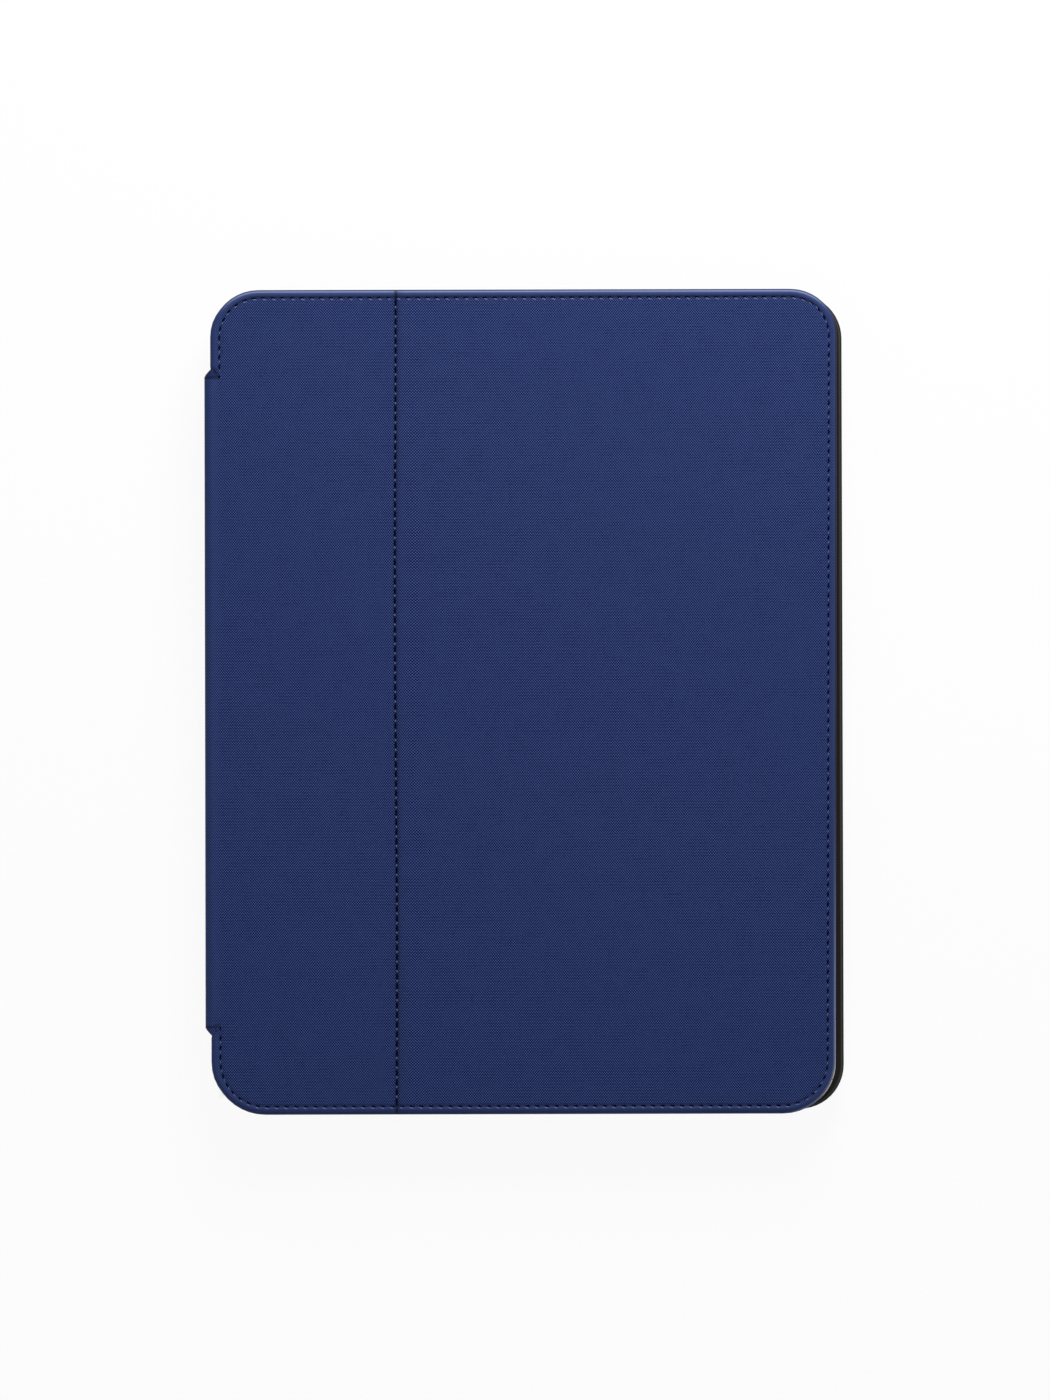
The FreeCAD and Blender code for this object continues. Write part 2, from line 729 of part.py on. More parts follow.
def make_keyboard_base():
    body = new_keyboard_body("keyboard_base")
    outline = new_sketch(body, "outline")
    draw_keyboard_outline(outline)
    solid = pad(body, outline, "frame_low")
    doc.recompute()
    bevel_edges(body, solid, flat_edges(solid, "0"), "frame_bevel")
    hollow = new_sketch(body, "hollow", "frame_low")
    draw_keyboard_outline(hollow, "base_wall")
    pocket(body, hollow, "frame_low - base_floor")
    mouth = new_sketch(body, "socket_mouth", "keyboard_end - base_wall / 2", "XZ_Plane")
    width = "socket_width + 2 * socket_gap"
    draw_centred(mouth, "socket_x", "socket_z", width, "frame_low - base_floor")
    pocket(body, mouth, "2 * base_wall", both_ways=True)
    shanks = new_sketch(body, "screw_holes")
    heads = new_sketch(body, "screw_seats")
    for x, y in screw_places():
        draw_circle(shanks, x, y, "screw_shank + 2 * screw_gap")
        draw_circle(heads, x, y, "screw_head + 2 * screw_gap")
    pocket(body, shanks, "base_floor", backward=True)
    pocket(body, heads, "screw_head_thick + screw_gap", backward=True)


def key_place(row, first, width):
    """Centre and outer sizes of the first key of a group."""
    x, pitch = ROWS[row]
    y = f"keys_left - key_pitch * {first + width / 2}"
    return x, y, f"{pitch} - key_space", f"key_pitch * {width} - key_space"


def make_keyboard_frame():
    body = new_keyboard_body("keyboard_frame")
    outline = new_sketch(body, "outline", "frame_low")
    draw_keyboard_outline(outline)
    solid = pad(body, outline, "frame_thick")
    doc.recompute()
    bevel_edges(body, solid, flat_edges(solid, "frame_top"), "frame_bevel")
    for row in LETTER_ROWS + ("function",):
        x, y, depth, length = key_place(row, 0, ROW_UNITS)
        window = new_sketch(body, f"{row}_row_window", "frame_top")
        sizes = (f"{depth} + 2 * key_gap", f"{length} + 2 * key_gap")
        draw_centred(window, x, y, *sizes, "key_corner + key_gap")
        pocket(body, window, "frame_thick")
    slot = new_sketch(body, "switch_slot", "frame_top")
    middle = "switch_y + switch_travel / 2"
    sizes = ("switch_width + 2 * switch_gap", "switch_length + switch_travel + 2 * switch_gap")
    draw_centred(slot, "switch_x", middle, *sizes, "switch_corner + switch_gap")
    pocket(body, slot, "frame_thick")
    lens = new_sketch(body, "lens_hole", "frame_top")
    draw_circle(lens, "switch_x", "lens_y", "lens_width + 2 * lens_gap")
    pocket(body, lens, "frame_thick")
    bosses = new_sketch(body, "screw_bosses", "frame_low")
    bores = new_sketch(body, "screw_bores", "base_floor")
    for x, y in screw_places():
        draw_circle(bosses, x, y, "boss_width")
        draw_circle(bores, x, y, "screw_shank + 2 * screw_gap")
    pad(body, bosses, "frame_low - base_floor", backward=True)
    pocket(body, bores, "screw_length", backward=True)


def make_keys():
    for name, row, first, width, count, step in KEYS:
        body = new_keyboard_body(name)
        x, y, depth, length = key_place(row, first, width)
        cap = new_sketch(body, "cap", "flange_top")
        draw_centred(cap, x, y, depth, length, "key_corner")
        top = "frame_top + key_rise"
        solid = pad(body, cap, f"{top} - flange_top")
        doc.recompute()
        bevel_edges(body, solid, flat_edges(solid, top), "key_bevel")
        flange = new_sketch(body, "flange", "flange_low")
        sizes = (f"{depth} + 2 * flange_reach", f"{length} + 2 * flange_reach")
        draw_centred(flange, x, y, *sizes, "key_corner")
        solid = pad(body, flange, "flange_thick")
        if count > 1:
            span = f"key_pitch * {step * (count - 1)}"
            repeat(body, solid, "Y_Axis", span, count, backward=True, whole=True)


def make_key_sheets():
    side = "keyboard_end - side_margin"
    body = new_keyboard_body("circuit_sheet")
    sheet_outline = new_sketch(body, "outline", "base_floor")
    draw_rectangle(sheet_outline, "keys_front", "keys_rear", f"-({side})", side)
    pad(body, sheet_outline, "circuit_thick")
    tail = new_sketch(body, "tail", "base_floor")
    tail_low = "main_board_y + main_board_length / 2"
    draw_rectangle(tail, "keys_rear", "main_board_x", tail_low, f"{tail_low} + tail_width")
    pad(body, tail, "circuit_thick")

    body = new_keyboard_body("dome_sheet")
    sheet_outline = new_sketch(body, "outline", "dome_base")
    draw_rectangle(sheet_outline, "keys_front", "keys_rear", f"-({side})", side)
    pad(body, sheet_outline, "dome_sheet_thick")
    for name, row, first, width, count, step in KEYS:
        x, y, depth, length = key_place(row, first, width)
        dome = new_sketch(body, f"{name}_dome", "dome_low")
        draw_circle(dome, x, y, "dome_width")
        post = pad(body, dome, "dome_rise")
        if count > 1:
            repeat(body, post, "Y_Axis", f"key_pitch * {step * (count - 1)}", count, backward=True)


def make_electronics():
    body = new_keyboard_body("main_board")
    plate = new_sketch(body, "outline", "base_floor")
    far_x = "main_board_x + main_board_width"
    far_y = "main_board_y + main_board_length"
    draw_rectangle(plate, "main_board_x", far_x, "main_board_y", far_y)
    pad(body, plate, "main_board_thick")

    body = new_keyboard_body("battery")
    cell = new_sketch(body, "outline", "base_floor")
    draw_centred(cell, "socket_x", "battery_shift", "battery_width", "battery_length", "battery_corner")
    pad(body, cell, "battery_thick")

    body = new_keyboard_body("charge_socket")
    shell = new_sketch(body, "shell", "keyboard_end", "XZ_Plane")
    draw_centred(shell, "socket_x", "socket_z", "socket_width", "socket_height", "socket_corner")
    pad(body, shell, "socket_depth", backward=True)
    bore = new_sketch(body, "bore", "keyboard_end", "XZ_Plane")
    sizes = ("socket_width - 2 * socket_wall", "socket_height - 2 * socket_wall")
    draw_centred(bore, "socket_x", "socket_z", *sizes, "socket_corner - socket_wall")
    pocket(body, bore, "socket_depth - socket_back")
    tongue = new_sketch(body, "tongue", "keyboard_end - tongue_setback", "XZ_Plane")
    draw_centred(tongue, "socket_x", "socket_z", "tongue_width", "tongue_thick")
    pad(body, tongue, "socket_depth - tongue_setback", backward=True)

    body = new_keyboard_body("switch_housing")
    block = new_sketch(body, "outline", "base_floor")
    middle = "switch_y + switch_travel / 2"
    draw_centred(block, "switch_x", middle, "switch_housing_width", "switch_housing_length")
    pad(body, block, "switch_housing_thick")

    body = new_keyboard_body("switch_knob")
    knob = new_sketch(body, "knob", "flange_top")
    draw_centred(knob, "switch_x", "switch_y", "switch_width", "switch_length", "switch_corner")
    solid = pad(body, knob, "frame_top + switch_rise - flange_top")
    doc.recompute()
    bevel_edges(body, solid, flat_edges(solid, "frame_top + switch_rise"), "switch_gap")
    flange = new_sketch(body, "flange", "flange_low")
    sizes = ("switch_width + 2 * switch_flange", "switch_length + 2 * switch_flange")
    draw_centred(flange, "switch_x", "switch_y", *sizes)
    pad(body, flange, "flange_thick")

    body = new_keyboard_body("indicator_lens")
    lens = new_sketch(body, "outline", "frame_top")
    draw_circle(lens, "switch_x", "lens_y", "lens_width")
    pad(body, lens, "lens_length", backward=True)


def make_keyboard_fixings():
    body = new_keyboard_body("keyboard_magnets")
    bars = new_sketch(body, "outline", "base_floor")
    for x, y in edge_places("magnet_from_middle"):
        draw_centred(bars, x, y, "magnet_width", "magnet_length")
    pad(body, bars, "magnet_thick")

    body = new_keyboard_body("bumper_pads")
    pads = new_sketch(body, "outline", "frame_top")
    for x, y in edge_places("screw_end"):
        draw_centred(pads, x, y, "bumper_width", "bumper_length", "bumper_corner")
    solid = pad(body, pads, "bumper_rise")
    doc.recompute()
    round_edges(body, solid, flat_edges(solid, "frame_top + bumper_rise"), "frame_bevel")

    body = new_keyboard_body("case_screws")
    heads = new_sketch(body, "heads", "screw_gap")
    shanks = new_sketch(body, "shanks", "screw_gap")
    for x, y in screw_places():
        draw_circle(heads, x, y, "screw_head")
        draw_circle(shanks, x, y, "screw_shank")
    pad(body, heads, "screw_head_thick")
    pad(body, shanks, "base_floor + screw_length - 2 * screw_gap")


def check_document():
    """Stops on any failed object, any cut that removed nothing and any bad shape."""
    for item in doc.Objects:
        if "Invalid" in item.State or "Error" in item.State:
            raise RuntimeError(f"{item.Label} failed: {item.State}")
    for cut in cuts:
        if not cut.Shape.Volume < cut.BaseFeature.Shape.Volume:
            raise RuntimeError(f"{cut.Label} cuts nothing")
    for node in nodes:
        if node.Shape.isNull() or not node.Shape.isValid() or not node.Shape.Solids:
            raise RuntimeError(f"{node.Label} has a bad shape")


def write_parts():
    os.makedirs("parts", exist_ok=True)
    for node in nodes:
        node.Shape.exportStep(f"parts/{node.Label}.step")
        print(node.Label, len(node.Shape.Solids), round(node.Shape.Volume, 1))


fill_sheet()
make_tray_shell()
make_tray_lining()
make_buttons()
make_back_fabric()
make_spine()
make_narrow_panel()
make_wide_panel()
make_keyboard_base()
make_keyboard_frame()
make_keys()
make_key_sheets()
make_electronics()
make_keyboard_fixings()
doc.recompute()
check_document()
write_parts()
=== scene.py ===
"""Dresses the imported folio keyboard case: cloth, lining, sewing, plastics, and the table it lies on."""

import json
import math

import bmesh
import bpy
import numpy as np
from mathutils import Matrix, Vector


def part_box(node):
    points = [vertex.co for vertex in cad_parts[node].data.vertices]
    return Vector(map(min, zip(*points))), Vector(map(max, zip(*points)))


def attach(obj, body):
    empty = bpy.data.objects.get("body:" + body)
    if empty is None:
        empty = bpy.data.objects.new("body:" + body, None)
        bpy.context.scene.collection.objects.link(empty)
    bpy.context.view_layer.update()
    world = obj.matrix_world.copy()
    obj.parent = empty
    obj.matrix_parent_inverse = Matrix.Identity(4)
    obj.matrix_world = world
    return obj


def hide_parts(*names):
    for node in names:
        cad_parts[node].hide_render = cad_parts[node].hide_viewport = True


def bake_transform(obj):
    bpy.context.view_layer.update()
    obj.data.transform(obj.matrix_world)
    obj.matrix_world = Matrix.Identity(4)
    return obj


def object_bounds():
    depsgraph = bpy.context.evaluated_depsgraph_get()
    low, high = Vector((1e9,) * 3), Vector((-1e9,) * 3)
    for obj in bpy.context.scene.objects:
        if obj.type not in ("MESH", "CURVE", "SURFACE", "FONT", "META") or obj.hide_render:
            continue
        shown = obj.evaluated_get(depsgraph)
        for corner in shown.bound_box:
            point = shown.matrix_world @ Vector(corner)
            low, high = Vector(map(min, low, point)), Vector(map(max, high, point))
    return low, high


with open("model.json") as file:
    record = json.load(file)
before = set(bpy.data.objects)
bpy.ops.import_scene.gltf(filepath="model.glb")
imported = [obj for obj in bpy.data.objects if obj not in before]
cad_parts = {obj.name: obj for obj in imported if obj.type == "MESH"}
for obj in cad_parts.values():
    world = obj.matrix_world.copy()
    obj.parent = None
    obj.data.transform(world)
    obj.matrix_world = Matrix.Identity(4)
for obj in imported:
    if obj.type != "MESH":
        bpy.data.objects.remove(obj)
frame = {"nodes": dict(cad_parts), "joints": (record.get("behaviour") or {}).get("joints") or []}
cad_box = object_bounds()

MM = 0.001
TINY = 1e-6
hinges = {joint["name"]: joint["pos_m"] for joint in frame["joints"] if joint["type"] == "hinge"}
wide_low, wide_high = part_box("wide_fabric")
board_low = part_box("narrow_board")[0]
spine_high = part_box("spine_fabric")[1]
pocket_low, pocket_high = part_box("tray_lining")
tray_low, tray_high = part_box("tray_shell")

# Places and sizes, in metres
SPINE_X = hinges["cover_hinge"][0]
CREASE_X = hinges["crease_hinge"][0]
COVER_RIGHT = wide_high.x
COVER_END = wide_high.y
COVER_TOP = wide_high.z
COVER_LOW = wide_low.z
LINING_INSET = 1.15 * MM
FLAP_X = board_low.x - LINING_INSET
FLAP_START = 117.0 * MM
HEM_FOLD = 113.3 * MM
SPINE_END = spine_high.y
SPINE_MIDDLE = COVER_TOP / 2
BEND_RADIUS = 3.0 * MM
BEND_X = SPINE_X + BEND_RADIUS
CLOTH_THICK = 0.8 * MM
UPPER_CORNER = 16.4 * MM
LOWER_CORNER = 18.4 * MM
STITCH_PITCH = 3.35 * MM
STITCH_INSET = 2.83 * MM
CAMERA_INSET = 28.3 * MM
CAMERA = (tray_high.x - CAMERA_INSET, tray_high.y - CAMERA_INSET)


class Flow:
    """A socket of a shader, so that its maths is written as plain sums."""

    def __init__(self, tree, socket=None):
        self.tree = tree
        self.socket = socket

    def node(self, kind, settings=None, sockets=None, output=0):
        """Adds a node, sets it up, fills its sockets with values or links, and gives one output."""
        made = self.tree.nodes.new(kind)
        for key, value in (settings or {}).items():
            setattr(made, key, value)
        for key, value in (sockets or {}).items():
            if isinstance(value, Flow):
                self.tree.links.new(value.socket, made.inputs[key])
            else:
                made.inputs[key].default_value = value
        return Flow(self.tree, made.outputs[output])

    def math(self, operation, *values):
        return self.node("ShaderNodeMath", {"operation": operation}, dict(enumerate(values)))

    def __add__(self, other):
        return self.math("ADD", self, other)

    __radd__ = __add__

    def __sub__(self, other):
        return self.math("SUBTRACT", self, other)

    def __rsub__(self, other):
        return self.math("SUBTRACT", other, self)

    def __mul__(self, other):
        return self.math("MULTIPLY", self, other)

    __rmul__ = __mul__

    def __pow__(self, other):
        return self.math("POWER", self, other)

    def axis(self, name):
        return self.node("ShaderNodeSeparateXYZ", sockets={0: self}, output=name)

    def noise(self, scale, detail=2.0, rough=0.5):
        """Soft noise about a half, finer as the scale grows."""
        sockets = {"Vector": self, "Scale": scale, "Detail": detail, "Roughness": rough}
        return self.node("ShaderNodeTexNoise", sockets=sockets)

    def stretched(self, x, y, z):
        """The same place, scaled along each axis."""
        return self.node("ShaderNodeVectorMath", {"operation": "MULTIPLY"}, {0: self, 1: (x, y, z)})

    def wave(self, pitch):
        """A sine along a line, once for each pitch."""
        return self.math("SINE", self * (2 * math.pi / pitch))

    def swing(self, size):
        """A noise of about a half, as a change of this size either way."""
        return (self - 0.5) * size

    def between(self, low, high):
        """Runs smoothly from 0 at low to 1 at high."""
        settings = {"interpolation_type": "SMOOTHSTEP"}
        return self.node("ShaderNodeMapRange", settings, {"Value": self, 1: low, 2: high})

    def tint(self, *colours):
        """A colour from one, at 0, to another, at 1, each from a socket or as a screen shows it."""
        first, second = [colour if isinstance(colour, Flow) else seen(*colour) for colour in colours]
        return self.node("ShaderNodeMix", {"data_type": "RGBA"}, {0: self, 6: first, 7: second}, 2)


def seen(red, green, blue):
    """A colour as a screen shows it, 0 to 255, in the linear values that a shader takes."""
    shares = [value / 255 for value in (red, green, blue)]
    linear = [share / 12.92 if share <= 0.04045 else ((share + 0.055) / 1.055) ** 2.4 for share in shares]
    return (*linear, 1.0)


def new_material(name, **steady):
    """A material, its flow for adding nodes, and its shader with the steady values set."""
    material = bpy.data.materials.new(name)
    material.use_nodes = True
    shader = material.node_tree.nodes["Principled BSDF"]
    for key, value in steady.items():
        shader.inputs[key.replace("_", " ")].default_value = value
    return material, Flow(material.node_tree), shader


def connect(flow, shader, colour, roughness=None, height=None, depth=0.1 * MM, strength=1.0):
    """Links a colour, a roughness and a bump to a shader."""
    links = flow.tree.links
    links.new(colour.socket, shader.inputs["Base Color"])
    if roughness is not None:
        links.new(roughness.socket, shader.inputs["Roughness"])
    if height is not None:
        sockets = {"Height": height, "Distance": depth, "Strength": strength}
        bump = flow.node("ShaderNodeBump", sockets=sockets)
        links.new(bump.socket, shader.inputs["Normal"])


def own_place(flow):
    return flow.node("ShaderNodeTexCoord", output="Object")


def kept(flow, name, output):
    """A value that the mesh keeps for each of its points."""
    return flow.node("ShaderNodeAttribute", {"attribute_name": name}, output=output)


def navy_cloth():
    """Plain woven polyester: light and dark crossings, uneven yarn, a smoother pressed edge, and painted
    highlight and painted shade where the mesh marks them.
    """
    material, flow, shader = new_material(
        "navy_cloth", Specular_IOR_Level=0.1, Sheen_Weight=0.04, Sheen_Roughness=0.4,
        Sheen_Tint=seen(150, 165, 215),
    )
    place = kept(flow, "cloth_place", "Vector")
    band = kept(flow, "pressed", "Fac")
    fold = kept(flow, "fold", "Fac")
    rub = kept(flow, "rub", "Fac")
    sway = place.noise(90.0, 1.0)
    across = place.axis("X") + sway.swing(0.4 * MM)
    along = place.axis("Y") + sway.swing(0.3 * MM)
    warp = across.wave(pitch=0.854 * MM)
    weft = along.wave(pitch=1.017 * MM)
    rib = along.wave(pitch=1.12 * MM)
    crossing = warp * weft * 0.5 + 0.5
    yarn = place.stretched(2400.0, 90.0, 1.0).noise(1.0, 2.0) * 0.5
    yarn = yarn + place.stretched(90.0, 2200.0, 1.0).noise(1.0, 2.0) * 0.5
    cloud = place.noise(28.0, 3.0)
    speck = place.noise(900.0, 2.0)
    weave = 1 - 0.75 * band
    mottle = place.noise(150.0, 2.0).between(0.36, 0.64)
    # Crossings stand out more in some patches, and least where the cloth is pressed
    tone = warp * weft * (0.9 + speck * 2.0 + mottle * 0.6) + rib * (0.26 - mottle * 0.16)
    tone = tone + yarn.swing(0.6) + speck.swing(0.4)
    tone = tone * weave + cloud.swing(0.08) + 0.5 + band * 0.28
    bright = tone.between(-0.3, 1.6) ** 2.0
    colour = bright.tint((0, 6, 58), (66, 87, 143))
    # Painted highlight: paler along the turned edge where it catches the light
    colour = (rub * (0.75 + crossing * 0.4)).tint(colour, (150, 163, 205))
    # Painted shade: darker where the mesh marks creases, slits, stitch grooves and edges that face away
    # from the light
    colour = fold.tint(colour, (5, 7, 28))
    roughness = 0.72 + cloud.swing(0.1) - band * 0.14
    height = crossing * weave + yarn * 0.5
    connect(flow, shader, colour, roughness, height, 0.14 * MM, 0.45)
    return material


def thread():
    """Twisted sewing thread, darker than the cloth."""
    material, flow, shader = new_material("thread", Specular_IOR_Level=0.02)
    place = own_place(flow)
    slanting = place.axis("X") + place.axis("Y") + place.axis("Z")
    turns = 26000.0
    twist = flow.math("SINE", slanting * turns) * 0.5 + 0.5
    fuzz = place.noise(5200.0, 2.0)
    colour = (twist * 0.6 + fuzz * 0.4).tint((2, 3, 20), (9, 12, 42))
    connect(flow, shader, colour, 0.55 + fuzz * 0.2, twist, 0.05 * MM, 0.6)
    return material


def microfibre():
    """Short-nap lining with brushed streaks."""
    material, flow, shader = new_material(
        "microfibre", Specular_IOR_Level=0.15, Sheen_Weight=0.35, Sheen_Roughness=0.5,
        Sheen_Tint=seen(170, 175, 190),
    )
    place = kept(flow, "cloth_place", "Vector")
    nap = place.noise(2300.0, 4.0, 0.65)
    brushed = place.stretched(60.0, 22.0, 1.0).noise(1.0, 4.0)
    fold = kept(flow, "fold", "Fac")
    tone = nap.swing(0.7) + brushed.swing(0.9) + 0.5
    colour = tone.tint((34, 36, 42), (66, 69, 78))
    # Painted shade along the lining's crease and its seam
    colour = fold.tint(colour, (20, 21, 25))
    connect(flow, shader, colour, 0.9 + nap.swing(0.1), nap, 0.08 * MM, 0.5)
    return material


def moulded(name, dark, light, roughness, grain, depth, gloss):
    """Moulded plastic or rubber with a fine spark-eroded grain and faint handling marks."""
    material, flow, shader = new_material(name, Specular_IOR_Level=gloss)
    place = own_place(flow)
    fine = place.noise(grain, 3.0, 0.6)
    cloud = place.noise(22.0, 3.0)
    smear = place.stretched(40.0, 160.0, 90.0).noise(1.0, 3.0)
    colour = (fine.swing(0.5) + cloud.swing(0.7) + 0.5).tint(dark, light)
    rough = roughness + fine.swing(0.12) + smear.swing(0.12)
    connect(flow, shader, colour, rough, fine, depth, 0.5)
    return material


def tray_plastic():
    """Matt black tray plastic, warm in tone, with a painted grey highlight line along its outer rim."""
    material, flow, shader = new_material("tray_plastic", Specular_IOR_Level=0.12)
    place = own_place(flow)
    corner = 15.5 * MM
    middle = (tray_low.x + tray_high.x) / 2
    beyond = []
    for axis, centre, end in (("X", middle, tray_high.x), ("Y", 0.0, tray_high.y)):
        off = flow.math("ABSOLUTE", place.axis(axis) - centre) - (end - centre - corner)
        beyond.append(flow.math("MAXIMUM", off, 0.0) ** 2.0)
    inset = corner - flow.math("SQRT", beyond[0] + beyond[1])
    fine = place.noise(1700.0, 3.0, 0.6)
    cloud = place.noise(22.0, 3.0)
    # Painted highlight: a grey line along the rim's rounded lip, where it catches the light
    line = inset.between(0.35 * MM, 0.6 * MM) * (1 - inset.between(0.8 * MM, 1.2 * MM))
    line = line * place.axis("Z").between(tray_high.z - 0.6 * MM, tray_high.z - 0.2 * MM)
    colour = (fine.swing(0.6) + cloud.swing(0.6) + 0.5).tint((22, 20, 19), (38, 35, 33))
    colour = (line * (0.45 + fine * 0.6)).tint(colour, (74, 72, 72))
    connect(flow, shader, colour, 0.62 + fine.swing(0.12) - line * 0.1, fine, 0.04 * MM, 0.5)
    return material


def rolled_metal(name, dark, light, roughness, stretch):
    """Metal with fine lines along the way that it was rolled or drawn."""
    material, flow, shader = new_material(name, Metallic=1.0)
    place = own_place(flow)
    lines = place.stretched(*stretch).noise(1.0, 4.0, 0.6)
    stain = place.noise(70.0, 3.0)
    colour = (lines.swing(0.8) + stain.swing(0.6) + 0.5).tint(dark, light)
    rough = roughness + lines.swing(0.2) + stain.swing(0.1)
    connect(flow, shader, colour, rough, lines, 0.02 * MM, 0.4)
    return material


def grey_board():
    """Pressed paper board with flecks."""
    material, flow, shader = new_material("grey_board", Specular_IOR_Level=0.2)
    place = own_place(flow)
    fibre = place.stretched(900.0, 350.0, 900.0).noise(1.0, 4.0, 0.7)
    fleck = place.noise(700.0, 1.0).between(0.66, 0.72)
    colour = fibre.tint((168, 165, 156), (206, 203, 194))
    colour = fleck.tint(colour, (110, 106, 98))
    connect(flow, shader, colour, 0.85 + fibre.swing(0.1), fibre, 0.05 * MM, 0.5)
    return material


def printed_lines(name, ground, ink, pitch):
    """Film or board with printed conductors in a square pattern."""
    material, flow, shader = new_material(name, Specular_IOR_Level=0.5)
    place = own_place(flow)
    bend = place.noise(60.0, 1.0).between(0.45, 0.55)
    lines_x = place.axis("X").wave(pitch).between(0.55, 0.7)
    lines_y = place.axis("Y").wave(pitch).between(0.55, 0.7)
    printed = lines_x * bend + lines_y * (1 - bend)
    haze = place.noise(300.0, 2.0)
    colour = printed.tint(haze.tint(*ground), ink)
    connect(flow, shader, colour, 0.42 + haze.swing(0.2), printed, 0.02 * MM, 0.5)
    return material


def grained(name, stretch, detail, rough, tints, roughness, depth=0.0, strength=0.5, **steady):
    """One grain that changes the colour, the roughness (middle, change) and the height of a surface."""
    material, flow, shader = new_material(name, **steady)
    grain = own_place(flow).stretched(*stretch).noise(1.0, detail, rough)
    middle, change = roughness
    height = grain if depth else None
    connect(flow, shader, grain.tint(*tints), middle + grain.swing(change), height, depth, strength)
    return material


def gathered_cloth():
    """The little humps of cloth between stitches, painted lighter than the rest as a highlight where they
    catch the light.
    """
    # Painted highlight: paler colours than the cloth's
    tints = ((52, 66, 115), (116, 130, 172))
    return grained(
        "gathered_cloth", (2600,) * 3, 3.0, 0.5, tints, (0.6, 0.2), 0.05 * MM,
        Specular_IOR_Level=0.25, Sheen_Weight=0.1, Sheen_Roughness=0.4,
    )


def pouch_foil():
    """Aluminium laminate round a flat cell, slightly creased."""
    tints = ((150, 152, 156), (206, 208, 212))
    return grained("pouch_foil", (260, 60, 200), 4.0, 0.6, tints, (0.32, 0.25), 0.15 * MM, Metallic=0.85)


def frosted_lens():
    """Milky clear plastic over the lamp."""
    tints = ((205, 210, 216), (236, 240, 244))
    return grained(
        "frosted_lens", (3000,) * 3, 2.0, 0.5, tints, (0.4, 0.2), 0.02 * MM, 0.4,
        Transmission_Weight=0.5, IOR=1.49,
    )


def legend_paint():
    """Pad-printed key legends, a little thin in places."""
    tints = ((176, 180, 188), (222, 225, 230))
    return grained("legend_paint", (1800,) * 3, 3.0, 0.5, tints, (0.6, 0.2), Specular_IOR_Level=0.35)


def new_mesh(name, points, faces):
    """A mesh from points in the row frame."""
    mesh = bpy.data.meshes.new(name)
    mesh.from_pydata([tuple(point) for point in points], [], [tuple(face) for face in faces])
    return mesh


def show(name, mesh, material):
    """Puts a mesh in the scene as a smooth piece."""
    mesh.materials.append(material)
    mesh.shade_smooth()
    piece = bpy.data.objects.new(name, mesh)
    bpy.context.scene.collection.objects.link(piece)
    return piece


def new_piece(name, points, faces, material):
    """A smooth mesh piece from points in the row frame."""
    return show(name, new_mesh(name, points, faces), material)


def keep_cloth(piece, places, **marks):
    """Keeps each point's place on the flat cloth, and its marks, for the material to read."""
    flat = piece.data.attributes.new("cloth_place", "FLOAT_VECTOR", "POINT")
    flat.data.foreach_set("vector", np.asarray(places, np.float32).ravel())
    for name, values in marks.items():
        mark = piece.data.attributes.new(name, "FLOAT", "POINT")
        mark.data.foreach_set("value", np.full(len(places), values, np.float32))


def step(values, low, high):
    """Runs smoothly from 0 at low to 1 at high."""
    share = np.clip((np.asarray(values, float) - low) / (high - low), 0, 1)
    return share * share * (3 - 2 * share)


def hump(values, middle, width):
    """1 at the middle, falling away smoothly over the width."""
    return np.exp(-(((np.asarray(values, float) - middle) / width) ** 2))


def grid_faces(lines, size, first=0, flipped=False):
    """Four-sided faces between neighbouring lines of points, each line of the same size."""
    faces = []
    for line in range(lines - 1):
        for place in range(size - 1):
            here = first + line * size + place
            ahead = here + size
            if flipped:
                faces.append((here, here + 1, ahead + 1, ahead))
            else:
                faces.append((here, ahead, ahead + 1, here + 1))
    return faces


def ring_faces(before, now):
    """Four-sided faces between two closed rings of points."""
    after = [*range(1, len(before)), 0]
    return [(before[k], before[j], now[j], now[k]) for k, j in enumerate(after)]


